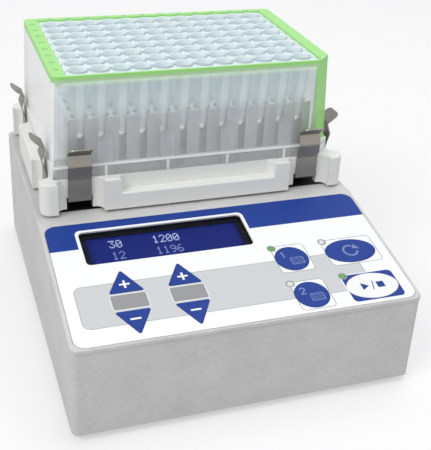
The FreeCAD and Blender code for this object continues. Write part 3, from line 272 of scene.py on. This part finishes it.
def plasticMaterial(name, colour, roughness=0.4, grain=600, bump=0.05, shade=0.06, **extra):
    # moulded plastic: a slight change of tone and a fine orange peel
    look = plasticLook
    made, shader, kit = material(name, roughness, **extra)
    mottle = kit.noise(grain, look["detail"])
    kit.plug(shader.inputs["Base Color"], mottle.mixed(shaded(colour, shade), colour))
    roughened(kit, shader, mottle, roughness - look["spread"] / 2, look["spread"])
    bumped(kit, shader, mottle, bump, look["depth"])
    return made


def inkMaterial(name, colour, shade=0.03, **extra):
    return plasticMaterial(name, colour, 0.4, grain=900, bump=0.03, shade=shade, **extra)


metalLook = {"detail": 4.0, "noiseRough": 0.6, "shade": 0.2, "spread": 0.16, "depth": 0.0001}


def metalMaterial(name, colour, roughness, streak=(1, 1, 1), scale=900, bump=0.08):
    # brushed or turned metal, with streaks along one direction
    look = metalLook
    made, shader, kit = material(name, roughness, metallic=1.0)
    brush = kit.noise(scale, look["detail"], look["noiseRough"], streak)
    kit.plug(shader.inputs["Base Color"], brush.mixed(shaded(colour, look["shade"]), colour))
    roughened(kit, shader, brush, roughness - look["spread"] / 2, look["spread"])
    bumped(kit, shader, brush, bump, look["depth"])
    return made


# heights are above the plate's base
plateLook = {
    "roughness": 0.35, "glow": 0.4, "cloud": (220, 2.0), "cloudShare": 0.06, "bump": (0.04, 0.0002),
    "middleY": 37.0, "pitch": 9.0, "skirt": 5.2,
    "coreStart": 13.0, "coreGrowth": 0.17, "coreMost": 1.7, "coreSoft": 0.9,
    "tip": (14.9, 1.0), "high": (26.0, 10.0),
    "tubeClear": (0.26, 0.5, 0.12, 0.6), "tubeGlow": (0.25, 0.6, 0.15, 0.6),
    "deck": (40.4, 0.8), "nearSoft": 3.0, "rim": 4.0, "rimLine": 0.55, "bore": (3.85, 0.1),
    "wellEnd": 39.6, "wellDepth": 4.2, "deckClear": 0.9, "deckGlow": 0.75, "wellGlow": (0.15, 0.35),
    "wall": (37.2, 0.3), "upper": (29.0, 14.0), "wallClear": (0.28, 0.13),
    "webPitch": 27.0, "webHalf": (3.4, 1.0), "webTop": (19.0, 9.0), "tickHalf": (0.6, 0.3),
    "hazeEnd": (56.5, 3.0), "hazeLow": (8.0, 3.0), "cast": (39.9, 1.4), "skirtTop": (4.6, 0.4),
    "ledgeLow": (4.7, 0.3), "ledgeTop": (5.4, 0.3), "ribTop": (4.2, 0.5), "ribDepth": (41.3, 0.3),
    "cover": {"web": 0.68, "haze": 0.55, "cast": 0.6, "skirt": 0.4, "bright": 0.75},
    "endX": 62.98, "endLean": 0.0388, "endDepth": (1.9, 0.3), "endSkin": (0.35, 0.2),
    "endInner": (0.65, 0.2), "endClear": 0.8, "endGlow": 0.12, "innerGlow": 0.9,
    "tint": {
        "core": rgb(236, 244, 244), "flank": rgb(206, 218, 221), "bright": rgb(252, 253, 253),
        "rim": rgb(140, 160, 170), "well": rgb(196, 210, 216), "top": rgb(230, 237, 238),
        "gap": rgb(222, 232, 235), "low": rgb(222, 226, 227), "clear": rgb(196, 206, 208),
        "web": rgb(204, 207, 209), "haze": rgb(240, 246, 248), "cast": rgb(226, 252, 220),
        "skirt": rgb(184, 187, 188), "side": rgb(239, 240, 239),
    },
}
plateBase = min(vert.co.z for vert in nodes["deepwell_plate"].data.vertices) / mm


def fromAxis(value, pitch):
    # how far a place is from the nearest of a row of axes half a pitch off the middle
    return ((value / pitch).fraction() - 0.5) * pitch


def plateMaterial():
    # clear long walls, milky ends and deck, and tubes with a painted highlight along the middle and a
    # painted glint at the tip; the plate also carries a painted glow
    look, tint = plateLook, plateLook["tint"]
    # painted glow: the plate glows though it is no lamp, standing in for light scattered in the milky
    # plastic
    made, shader, kit = material("milky plate", look["roughness"], Emission_Strength=look["glow"])
    x, y, z = spot(kit)
    height = z - plateBase
    away = abs(y - look["middleY"])
    cloud = kit.noise(*look["cloud"])
    offsetX, offsetY = fromAxis(x, look["pitch"]), fromAxis(y - look["middleY"], look["pitch"])
    # painted light on the tubes: a highlight down the middle that widens with height, shaded flanks, and a
    # glint at the tip
    coreHalf = ((height - look["coreStart"]) * look["coreGrowth"]).clamped() * look["coreMost"]
    core = (0.5 - (abs(offsetX) - coreHalf) / look["coreSoft"]).clamped()
    tip = below(height, *look["tip"])
    high = above(height, *look["high"])
    colour = tip.mixed(core.mixed(tint["flank"], tint["core"]), tint["bright"])
    clear = weighed(look["tubeClear"], high, core, tip).clamped()
    glow = weighed(look["tubeGlow"], high, core, tip).clamped()
    # the deck with its rims, and painted shade: a dark arc on the near side of each rim, and wells painted
    # darker from the rim to as deep as the eye reaches, with a painted glow inside them
    deck = above(height, *look["deck"])
    reach = (offsetX * offsetX + offsetY * offsetY).root()
    near = (0.5 - offsetY / look["nearSoft"]).clamped()
    rim = (1.0 - abs(reach - look["rim"]) / look["rimLine"]).clamped() * near
    inside = below(reach, *look["bore"])
    rimward = ((height - look["wellEnd"]) / look["wellDepth"]).clamped()
    ground = inside.mixed(tint["gap"], rimward.mixed(tint["well"], tint["top"]))
    colour = deck.mixed(colour, rim.mixed(ground, tint["rim"]))
    clear = clear.larger(deck * look["deckClear"])
    wellGlow = inside * deck * weighed(look["wellGlow"], rimward)
    glow = (glow * (1.0 - deck * look["deckGlow"])).larger(wellGlow)
    # the long walls are clear, and milkier higher up
    wall = above(away, *look["wall"])
    upper = above(height, *look["upper"])
    colour = wall.mixed(colour, upper.mixed(tint["low"], tint["clear"]))
    clear = clear * (1.0 - wall) + wall * weighed(look["wallClear"], upper)
    glow = glow * (1.0 - wall)
    # webs from the wall veil every third tube's tip, the wall's ends are hazy, the border's green light is
    # painted on the wall's top as cast light, the skirt below the step is painted grey as shade, and white
    # lines show the skirt's step and ribs
    fromWeb = abs(fromAxis(x, look["webPitch"]))
    web = wall * below(fromWeb, *look["webHalf"]) * below(height, *look["webTop"])
    haze = wall * above(abs(x), *look["hazeEnd"]) * above(height, *look["hazeLow"])
    cast = wall * above(height, *look["cast"])
    skirt = wall * below(height, *look["skirtTop"])
    ledge = wall * above(height, *look["ledgeLow"]) * below(height, *look["ledgeTop"])
    ribs = wall * below(height, *look["ribTop"]) * below(away, *look["ribDepth"])
    ticks = skirt * below(fromWeb, *look["tickHalf"])
    lines = ledge.larger(ribs).larger(ticks)
    covers = {"web": web, "haze": haze, "cast": cast, "skirt": skirt, "bright": lines}
    for name, mask in covers.items():
        colour = mask.mixed(colour, tint[name])
        clear = clear.larger(mask * look["cover"][name])
    # the end walls are milky, painted whiter and less clear as a stand-in for their sheen at a grazing
    # angle, and a painted glow, strongest on the inner faces, stands in for light coming through from
    # outside
    inward = look["endX"] - (height - look["skirt"]) * look["endLean"] - abs(x)
    ends = below(inward, *look["endDepth"]) * (1.0 - wall * above(inward, *look["endSkin"]))
    inner = ends * above(inward, *look["endInner"])
    colour = ends.mixed(colour, tint["side"])
    clear = clear.larger(ends * look["endClear"])
    glow = (glow * (1.0 - ends)).larger(ends * look["endGlow"] + inner * look["innerGlow"])
    kit.plug(shader.inputs["Base Color"], colour)
    kit.plug(shader.inputs["Emission Color"], glow.clamped().mixed(unlit, colour))
    kit.plug(shader.inputs["Alpha"], (clear + (cloud - 0.5) * look["cloudShare"]).clamped())
    bumped(kit, shader, cloud, *look["bump"])
    return made


borderLook = {
    "roughness": 0.38, "green": rgb(160, 227, 130), "mark": rgb(104, 160, 84), "pale": rgb(204, 236, 192),
    "mottle": (400, 2.0), "tone": (0.92, 0.16), "rough": (0.34, 0.08), "bump": (0.04, 0.0002),
    "left": -58.6, "rear": 75.9, "top": (43.9, 0.1), "ring": (0.6, 1.15, 0.15), "markShare": 0.8,
    "halfRows": 4, "halfColumns": 6, "endSoft": 0.2,
    "fringeTop": (42.5, 0.5), "fringeLow": (41.25, 0.1), "fringeRear": (-3.0, 0.5), "fringeClear": 0.2,
}


def borderMaterial():
    # a green border with a plain ring beside every row and column of wells
    look, pitch = borderLook, plateLook["pitch"]
    made, shader, kit = material("green border", look["roughness"])
    x, y, z = spot(kit)
    height = z - plateBase
    mottle = kit.noise(*look["mottle"])
    beside = fromAxis(y - plateLook["middleY"], pitch)
    behind = fromAxis(x, pitch)
    # the rings stop where the wells stop
    rowEnd = below(abs(y - plateLook["middleY"]), pitch * look["halfRows"], look["endSoft"])
    columnEnd = below(abs(x), pitch * look["halfColumns"], look["endSoft"])
    rows = ringMask(x - look["left"], beside, (0, 0), *look["ring"]) * rowEnd
    columns = ringMask(behind, y - look["rear"], (0, 0), *look["ring"]) * columnEnd
    marks = rows.larger(columns) * above(height, *look["top"])
    green = weighed(look["tone"], mottle).clamped().mixed(unlit, look["green"])
    # the thin lower edge at the front is paler, and lets some light through
    fringe = below(height, *look["fringeTop"]) * above(height, *look["fringeLow"])
    fringe = fringe * below(y, *look["fringeRear"])
    green = fringe.mixed(green, look["pale"])
    kit.plug(shader.inputs["Alpha"], 1.0 - fringe * look["fringeClear"])
    kit.plug(shader.inputs["Base Color"], (marks * look["markShare"]).mixed(green, look["mark"]))
    roughened(kit, shader, mottle, *look["rough"])
    bumped(kit, shader, mottle, *look["bump"])
    return made


adapterLook = {
    "roughness": 0.5, "side": rgb(220, 219, 220), "shade": 0.12, "top": rgb(250, 244, 240),
    "height": (22.9, 0.2), "brush": (1500, 4.0, 0.6, (1, 1, 0.1)), "rough": (0.42, 0.16),
    "bump": (0.1, 0.0001),
}


def adapterMaterial():
    # satin aluminium, with a painted highlight: the top face is painted lighter as if lit
    look = adapterLook
    made, shader, kit = material("satin adapter", look["roughness"], metallic=1.0)
    brush = kit.noise(*look["brush"])
    # painted highlight: above this height the block is painted near white
    top = above(spot(kit)[2] - plateBase, *look["height"])
    side = brush.mixed(shaded(look["side"], look["shade"]), look["side"])
    kit.plug(shader.inputs["Base Color"], top.mixed(side, look["top"]))
    roughened(kit, shader, brush, *look["rough"])
    bumped(kit, shader, brush, *look["bump"])
    return made


finish = {
    "casing": casingMaterial(),
    "base": metalMaterial("base sheet", rgb(150, 152, 152), 0.45),
    "tray": plasticMaterial("tray white", rgb(238, 239, 235), 0.38, grain=500, bump=0.06, shade=0.04),
    "black": plasticMaterial("black moulding", rgb(28, 28, 30), 0.45),
    "bezel": plasticMaterial("display bezel", rgb(14, 14, 20), 0.6, Specular_IOR_Level=0.15),
    "rubber": plasticMaterial("foot rubber", rgb(30, 30, 30), 0.8, grain=900, bump=0.3),
    "blue": inkMaterial("blue ink", blue, shade=0.05, Specular_IOR_Level=0.15),
    "whiteInk": inkMaterial("white ink", white),
    "faintInk": inkMaterial("faint ink", rgb(124, 140, 192), Specular_IOR_Level=0.15),
    "board": plasticMaterial("circuit board", rgb(20, 90, 50), 0.4),
    "chip": plasticMaterial("chip", rgb(35, 36, 38), 0.5),
    "ribbon": plasticMaterial("ribbon cable", rgb(150, 152, 155), 0.5),
    "copper": metalMaterial("winding", rgb(190, 110, 60), 0.4, streak=(1, 1, 30)),
    "steel": metalMaterial("machined steel", rgb(190, 190, 190), 0.3),
    "brass": metalMaterial("turned brass", rgb(200, 165, 90), 0.3),
    "aluminium": metalMaterial("milled aluminium", rgb(200, 201, 203), 0.35),
    "adapter": adapterMaterial(),
    "spring": metalMaterial("rolled spring steel", rgb(158, 154, 146), 0.4, streak=(0.15, 0.15, 1),
                            scale=2500, bump=0.12),
    "wall": plateMaterial(),
    "border": borderMaterial(),
}
print("finishes made:", len(finish))

finishOf = {
    "casing": ("top_cover", "lower_housing"), "base": ("base_plate",), "rubber": ("rubber_feet",),
    "steel": ("corner_screws", "board_screws", "frame_screws", "tray_screws", "clip_screws", "motor_can",
              "motor_rotor", "drive_bearings", "carrier_bearings", "eccentric_shaft", "idler_rear",
              "idler_left", "idler_right", "data_port", "port_studs"),
    "brass": ("board_standoffs", "counterweight"), "copper": ("motor_stator",),
    "aluminium": ("drive_frame", "frame_pillars", "carrier_plate", "carrier_posts"),
    "bezel": ("display_frame",), "black": ("power_inlet", "rocker_frame", "power_rocker", "key_switches"),
    "board": ("main_board", "keypad_board", "display_board"), "chip": ("board_parts",),
    "ribbon": ("ribbon_cable",), "tray": ("shaking_tray",), "adapter": ("adapter_block",),
    "spring": tuple(name for name in nodes if name.startswith("clip_") and name != "clip_screws"),
    "blue": ("time_up_key", "time_down_key", "mix_up_key", "mix_down_key", "preset_1_key", "preset_2_key",
             "short_mix_key"),
    "whiteInk": ("start_stop_key",), "wall": ("deepwell_plate",), "border": ("plate_border",),
}
for look, names in finishOf.items():
    paint(finish[look], *names)

# panel places are in millimetres across and up from the middle of the cover's front edge
overlayLook = {
    "roughness": 0.38, "sheen": 0.15, "film": rgb(248, 249, 250), "line": rgb(150, 152, 156),
    "soft": rgb(207, 209, 212), "block": rgb(155, 155, 157), "blockEdge": rgb(226, 228, 230),
    "band": (0, 61.9, 141, 16.8, 0.1), "window": (-21.1, 53.5, 73.1, 22.7, 2.5),
    "zone": (-5.35, 20.55, 117.7, 22.1, 3.0), "zoneLine": 0.25,
    "blocks": [(-44.5, 20.95, 13.9, 7.7, 0.8), (-21.1, 20.95, 13.9, 7.7, 0.8)], "blockLine": 0.5,
    "frames": [(26.75, 32.1, 14.5, 15.8, 1.6), (26.8, 10.4, 14.2, 15.6, 1.6), (53.5, 32.0, 22.6, 15.6, 2.0)],
    "frameLine": 0.3, "start": (53.25, 10.2, 22.7, 15.2, 2.0), "startLine": 0.5,
    "lights": [(20.0, 39.2), (20.0, 17.6), (43.0, 39.2), (43.0, 17.6)], "lightRing": (1.2, 1.9),
    "grain": (1800, 2.0), "rough": (0.34, 0.1), "bump": (0.06, 0.0001),
}


def overlayMaterial():
    look = overlayLook
    made, shader, kit = material("printed film", look["roughness"], Specular_IOR_Level=look["sheen"])
    across, up = panelAcross(kit)
    colour = look["film"]

    def laid(shape, fill, edge=None, line=0.0):
        nonlocal colour
        if edge:
            colour = boxMask(across, up, shape, line).mixed(colour, edge)
        colour = boxMask(across, up, shape).mixed(colour, fill)

    laid(look["band"], blue)
    laid(look["window"], look["film"])
    laid(look["zone"], look["soft"], look["line"], look["zoneLine"])
    for shape in look["blocks"]:
        laid(shape, look["block"], look["blockEdge"], look["blockLine"])
    for shape in look["frames"]:
        laid(shape, look["film"], look["line"], look["frameLine"])
    laid(look["start"], blue, look["film"], look["startLine"])
    for place in look["lights"]:
        colour = ringMask(across, up, place, *look["lightRing"]).mixed(colour, look["line"])
    grain = kit.noise(*look["grain"])
    kit.plug(shader.inputs["Base Color"], colour)
    roughened(kit, shader, grain, *look["rough"])
    bumped(kit, shader, grain, *look["bump"])
    return made


paint(overlayMaterial(), "control_overlay")

lightLook = {
    "roughness": 0.25, "glow": 0.12, "lit": rgb(70, 156, 62), "unlit": rgb(222, 228, 224),
    "litPipes": (0, 3), "reach": (-1.0, 4.0), "haze": (900, 2.0), "tone": (0.85, 0.15),
    "bump": (0.03, 0.0001),
}


def lightMaterial():
    # the first preset and the running light are lit
    look = lightLook
    made, shader, kit = material("light pipe", look["roughness"], Emission_Strength=look["glow"])
    across, up = panelAcross(kit)
    places = [overlayLook["lights"][i] for i in look["litPipes"]]
    preset, running = [ringMask(across, up, place, *look["reach"]) for place in places]
    lit = preset.larger(running)
    haze = kit.noise(*look["haze"])
    tone = (lit * weighed(look["tone"], haze)).mixed(look["unlit"], look["lit"])
    kit.plug(shader.inputs["Base Color"], tone)
    kit.plug(shader.inputs["Emission Color"], lit.mixed(unlit, look["lit"]))
    bumped(kit, shader, haze, *look["bump"])
    return made


paint(lightMaterial(), "status_lights")

displayLook = {
    "roughness": 0.3, "sheen": 0.1, "glow": 0.3, "ground": rgb(22, 36, 116), "edge": rgb(10, 18, 78),
    "screen": (-21.1, 53.5, 62, 15.5, 1), "screenSoft": 3.0, "cloud": (60, 2.0), "tone": (0.8, 0.2),
    "bump": (0.02, 0.0001),
}


def displayMaterial():
    look = displayLook
    made, shader, kit = material("display glass", look["roughness"], Emission_Strength=look["glow"],
                                 Specular_IOR_Level=look["sheen"])
    inside = boxMask(*panelAcross(kit), look["screen"], soft=look["screenSoft"])
    cloud = kit.noise(*look["cloud"])
    tone = (inside * weighed(look["tone"], cloud)).mixed(look["edge"], look["ground"])
    kit.plug(shader.inputs["Base Color"], tone)
    kit.plug(shader.inputs["Emission Color"], tone)
    bumped(kit, shader, cloud, *look["bump"])
    return made


paint(displayMaterial(), "display_glass")

windowLook = {
    "roughness": 0.12, "sheen": 0.3, "low": rgb(50, 56, 72), "high": rgb(74, 80, 96), "smear": (45, 3.0),
    "clear": (0.02, 0.03), "bump": (0.02, 0.0001),
}


def windowMaterial():
    look = windowLook
    made, shader, kit = material("clear window", look["roughness"], Specular_IOR_Level=look["sheen"])
    smear = kit.noise(*look["smear"])
    kit.plug(shader.inputs["Base Color"], smear.mixed(look["low"], look["high"]))
    kit.plug(shader.inputs["Alpha"], weighed(look["clear"], smear))
    bumped(kit, shader, smear, *look["bump"])
    return made


paint(windowMaterial(), "display_window")
print("panel print and display made")

# marks on the keys and characters in the display are thin raised ink, and low and high are above the film
inkLook = {"low": 0.13, "high": 0.19, "mitre": 0.5}


def flatPiece(name, outlines, low, high, body, look):
    mesh = bpy.data.meshes.new(name)
    form = bmesh.new()
    for outline in outlines:
        bottom = [form.verts.new(panelPoint(place, low)) for place in outline]
        top = [form.verts.new(panelPoint(place, high)) for place in outline]
        form.faces.new(list(reversed(bottom)))
        form.faces.new(top)
        for i in range(len(outline)):
            j = (i + 1) % len(outline)
            form.faces.new((bottom[i], bottom[j], top[j], top[i]))
    bmesh.ops.recalc_face_normals(form, faces=form.faces)
    form.to_mesh(mesh)
    form.free()
    piece = bpy.data.objects.new(name, mesh)
    bpy.context.scene.collection.objects.link(piece)
    mesh.materials.append(look)
    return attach(piece, body)


def keySign(name, outlines, body, ink):
    return flatPiece(name, outlines, inkLook["low"], inkLook["high"], body, finish[ink])


def strokeOutline(points, width):
    # a bent stroke of even width round a run of points
    sides = []
    for sign in (1, -1):
        side = []
        for i, point in enumerate(points):
            before = points[max(i - 1, 0)]
            after = points[min(i + 1, len(points) - 1)]
            ahead = [Vector(point) - Vector(before), Vector(after) - Vector(point)]
            ahead = [step.normalized() for step in ahead if step.length > 0]
            across = sum((Vector((-step.y, step.x)) for step in ahead), Vector((0, 0))).normalized()
            first = Vector((-ahead[0].y, ahead[0].x))
            reach = width / 2 / max(across.dot(first), inkLook["mitre"])
            side.append(tuple(Vector(point) + across * reach * sign))
        sides.append(side)
    return sides[1] + sides[0][::-1]


def shifted(points, x, y):
    return [(x + px, y + py) for px, py in points]


def bar(x, y, width, height):
    return [(x - width / 2, y - height / 2), (x + width / 2, y - height / 2),
            (x + width / 2, y + height / 2), (x - width / 2, y + height / 2)]


def disc(x, y, radius, count):
    angles = [2 * math.pi * i / count for i in range(count)]
    return [(x + radius * math.cos(a), y + radius * math.sin(a)) for a in angles]


def arc(x, y, radius, start, end, count):
    angles = [math.radians(start + (end - start) * i / count) for i in range(count + 1)]
    return [(x + radius * math.cos(a), y + radius * math.sin(a)) for a in angles]


signLook = {"columns": (("time", -44.5), ("mix", -21.1)), "plusY": 30.2, "minusY": 11.4, "length": 4.2,
            "thick": 0.9}
for name, x in signLook["columns"]:
    length, thick = signLook["length"], signLook["thick"]
    arm = (length - thick) / 4 + thick / 2
    plus = [bar(x, signLook["plusY"], length, thick)]
    plus += [bar(x, signLook["plusY"] + side * arm, thick, arm * 2 - thick) for side in (1, -1)]
    keySign(name + "PlusSign", plus, name + "_up_press", "whiteInk")
    minus = [bar(x, signLook["minusY"], length, thick)]
    keySign(name + "MinusSign", minus, name + "_down_press", "whiteInk")

# each preset key has its number and a small plate of dots
presetLook = {
    "places": ((1, 31.8), (2, 10.2)), "digitX": 23.3, "digitRise": 2.4, "digitStroke": 0.62,
    "plateX": 28.3, "plateDrop": 1.6, "corners": [(-2.7, -1.9), (2.7, -1.9), (2.7, 1.9), (-2.7, 1.9)],
    "frameStroke": 0.35, "columns": 5, "rows": 3, "columnPitch": 0.95, "rowPitch": 1.05, "dot": 0.3,
    "dotSides": 10,
    "digits": {
        1: [(-0.75, 0.95), (0.05, 1.65), (0.05, -1.65)],
        2: [(-0.95, 0.75), (-0.75, 1.3), (-0.25, 1.65), (0.3, 1.65), (0.8, 1.3), (0.95, 0.75), (0.7, 0.1),
            (-0.9, -1.6), (1.0, -1.6)],
    },
}


def presetMark(number, y):
    look = presetLook
    digit = shifted(look["digits"][number], look["digitX"], y + look["digitRise"])
    marks = [strokeOutline(digit, look["digitStroke"])]
    middleX, middleY = look["plateX"], y - look["plateDrop"]
    for i, corner in enumerate(look["corners"]):
        side = [corner, look["corners"][(i + 1) % len(look["corners"])]]
        marks.append(strokeOutline(shifted(side, middleX, middleY), look["frameStroke"]))
    for column in range(look["columns"]):
        for row in range(look["rows"]):
            dotX = middleX + (column - (look["columns"] - 1) / 2) * look["columnPitch"]
            dotY = middleY + (row - (look["rows"] - 1) / 2) * look["rowPitch"]
            marks.append(disc(dotX, dotY, look["dot"], look["dotSides"]))
    return marks


for number, y in presetLook["places"]:
    name, press = "presetMark%d" % number, "preset_%d_press" % number
    keySign(name, presetMark(number, y), press, "faintInk")

turnLook = {
    "middle": (53.0, 31.8), "radius": 3.0, "sweep": (60, 350), "steps": 28, "stroke": 0.9,
    "head": [(54.2, 33.0), (57.6, 32.3), (55.6, 35.4)],
}
turnLine = arc(*turnLook["middle"], turnLook["radius"], *turnLook["sweep"], turnLook["steps"])
turnMark = [strokeOutline(turnLine, turnLook["stroke"]), turnLook["head"]]
keySign("shortMixMark", turnMark, "short_mix_press", "faintInk")

startLook = {
    "play": [(48.2, 8.2), (51.4, 10.2), (48.2, 12.2)], "stop": (56.6, 10.2, 3.2, 3.2),
    "slash": [(52.6, 7.8), (53.8, 12.6)], "stroke": 0.4,
}
slash = strokeOutline(startLook["slash"], startLook["stroke"])
startMark = [startLook["play"], bar(*startLook["stop"]), slash]
keySign("startStopMark", startMark, "start_stop_press", "blue")

# every character is five columns and seven rows of dots
dots = {
    "0": "01110 10001 10011 10101 11001 10001 01110", "1": "00100 01100 00100 00100 00100 00100 01110",
    "2": "01110 10001 00001 00010 00100 01000 11111", "3": "11111 00010 00100 00010 00001 10001 01110",
    "6": "00110 01000 10000 11110 10001 10001 01110", "9": "01110 10001 10001 01111 00001 00010 01100",
}
characterLook = {
    "rows": [(57.2, [(-41.9, "30"), (-20.4, "1200")]), (50.1, [(-41.9, "12"), (-20.4, "1196")])],
    "pitch": 2.95, "dotX": 0.5, "dotY": 0.66, "fill": 0.86, "middleColumn": 2, "middleRow": 3,
    "sunk": 0.02, "raised": 0.03, "roughness": 0.5, "sheen": 0.1, "glow": 0.4,
    "ink": rgb(176, 190, 226), "inkLow": rgb(120, 134, 190), "rowSplit": (53.6, 0.5),
    "haze": (400, 2.0), "tone": (0.85, 0.3),
}


def characterDots(letter, left, y):
    look = characterLook
    cells = []
    for row, line in enumerate(dots[letter].split()):
        for column, lit in enumerate(line):
            if lit == "1":
                dotX = left + (column - look["middleColumn"]) * look["dotX"]
                dotY = y + (look["middleRow"] - row) * look["dotY"]
                cells.append(bar(dotX, dotY, look["dotX"] * look["fill"], look["dotY"] * look["fill"]))
    return cells


def characterMaterial():
    # the upper row is brighter than the lower one
    look = characterLook
    made, shader, kit = material("display characters", look["roughness"], Emission_Strength=look["glow"],
                                 Specular_IOR_Level=look["sheen"])
    haze = kit.noise(*look["haze"])
    upper = above(panelAcross(kit)[1], *look["rowSplit"])
    tone = (upper * weighed(look["tone"], haze)).mixed(look["inkLow"], look["ink"])
    kit.plug(shader.inputs["Base Color"], tone)
    kit.plug(shader.inputs["Emission Color"], tone)
    return made


cells = []
for y, groups in characterLook["rows"]:
    for middle, text in groups:
        for i, letter in enumerate(text):
            left = middle + (i - (len(text) - 1) / 2) * characterLook["pitch"]
            cells += characterDots(letter, left, y)
glassTop = max(vert.co.dot(panelNormal) for vert in nodes["display_glass"].data.vertices)
glassLift = (glassTop - panelOrigin.dot(panelNormal)) / mm
flatPiece("displayCharacters", cells, glassLift - characterLook["sunk"], glassLift + characterLook["raised"],
          "housing", characterMaterial())
print("marks made, display glass at", round(glassLift, 2), "mm")

floorLook = {
    "half": 4.0, "cells": 8, "gap": 0.0002, "roughness": 0.6, "dull": rgb(247, 247, 248),
    "pale": rgb(250, 250, 251), "grain": (30, 2.0), "bounce": rgb(206, 206, 207), "light": 1.0,
    "shadowShare": 0.5, "mirrorShare": 0.3,
}


def floorMaterial():
    # pale to the eye, greyer to bounced light, and partly lit by itself so that shadows stay soft
    look = floorLook
    made, shader, kit = material("pale floor", look["roughness"])
    tree = made.node_tree
    grain = kit.noise(*look["grain"])
    glow = kit.add("Emission", inputs={"Color": (1, 1, 1, 1), "Strength": look["light"]})
    rays = kit.add("LightPath").output.node
    mirrored, direct = [Socket(tree, rays.outputs[name]) for name in ("Is Glossy Ray", "Is Camera Ray")]
    pale = grain.mixed(look["dull"], look["pale"])
    kit.plug(shader.inputs["Base Color"], direct.mixed(look["bounce"], pale))
    share = direct * (1 - look["shadowShare"]) + mirrored * look["mirrorShare"]
    mixed = kit.add("MixShader", inputs={0: share.clamped(), 1: Socket(tree, shader.outputs[0]), 2: glow})
    kit.plug(tree.nodes["Material Output"].inputs["Surface"], mixed)
    return made


floorMesh = bpy.data.meshes.new("floor")
floorForm = bmesh.new()
cellCount = floorLook["cells"]
bmesh.ops.create_grid(floorForm, x_segments=cellCount, y_segments=cellCount, size=floorLook["half"])
floorForm.to_mesh(floorMesh)
floorForm.free()
floorMesh.materials.append(floorMaterial())
floorPiece = bpy.data.objects.new("floor", floorMesh)
bpy.context.scene.collection.objects.link(floorPiece)
floorPiece.location = (0, 0, cadBox[0][2] - floorLook["gap"])
print("floor laid")

# the world is white to the eye and in mirrors, and greyer as a light
scene = bpy.context.scene
world = bpy.data.worlds.new("studio")
scene.world = world
world.use_nodes = True
sky = Socket(world.node_tree)
background = world.node_tree.nodes["Background"]
rays = sky.add("LightPath").output.node
worldLook = {"light": rgb(186, 187, 189), "seen": (1.0, 1.0, 1.0, 1.0)}
seenRays = ("Is Camera Ray", "Is Glossy Ray", "Is Transmission Ray")
direct, mirrored, through = [Socket(world.node_tree, rays.outputs[name]) for name in seenRays]
seen = direct.larger(mirrored).larger(through)
sky.plug(background.inputs["Color"], seen.mixed(worldLook["light"], worldLook["seen"]))

lamps = {
    "key": {"place": (-0.9, -0.52, 1.15), "size": 0.8, "power": 9.2, "tint": (1.0, 0.99, 0.97)},
    "fill": {"place": (0.95, -0.65, 0.7), "size": 0.9, "power": 1.3, "tint": (0.97, 0.98, 1.0)},
    "top": {"place": (0.35, 0.2, 1.25), "size": 1.0, "power": 4.6, "tint": (1.0, 1.0, 1.0)},
}
lampAim = Vector((0, 0, 0.06))
for name, lamp in lamps.items():
    data = bpy.data.lights.new(name + "Lamp", "AREA")
    data.shape = "DISK"
    data.size = lamp["size"]
    data.energy = lamp["power"]
    data.color = lamp["tint"]
    made = bpy.data.objects.new(name + "Lamp", data)
    made.location = lamp["place"]
    made.rotation_euler = (Vector(lamp["place"]) - lampAim).to_track_quat("Z", "Y").to_euler()
    scene.collection.objects.link(made)

view = {"place": (-0.11269, -0.33840, 0.23826), "ahead": (0.30555, 0.83361, -0.46014),
        "up": (0.10526, 0.45072, 0.88644), "lens": 71.4, "sensor": 36.0, "shiftX": -0.001, "shiftY": -0.0627,
        "nearest": 0.01}
eye = bpy.data.cameras.new("camera")
eye.lens = view["lens"]
eye.sensor_width = view["sensor"]
eye.shift_x = view["shiftX"]
eye.shift_y = view["shiftY"]
eye.clip_start = view["nearest"]
camera = bpy.data.objects.new("camera", eye)
ahead, upward = Vector(view["ahead"]).normalized(), Vector(view["up"]).normalized()
side = ahead.cross(upward).normalized()
turn = Matrix((side, side.cross(ahead), -ahead)).transposed().to_4x4()
camera.matrix_world = Matrix.Translation(Vector(view["place"])) @ turn
scene.collection.objects.link(camera)
scene.camera = camera
scene.view_settings.view_transform = "Standard"
print("lamps, world and camera set")
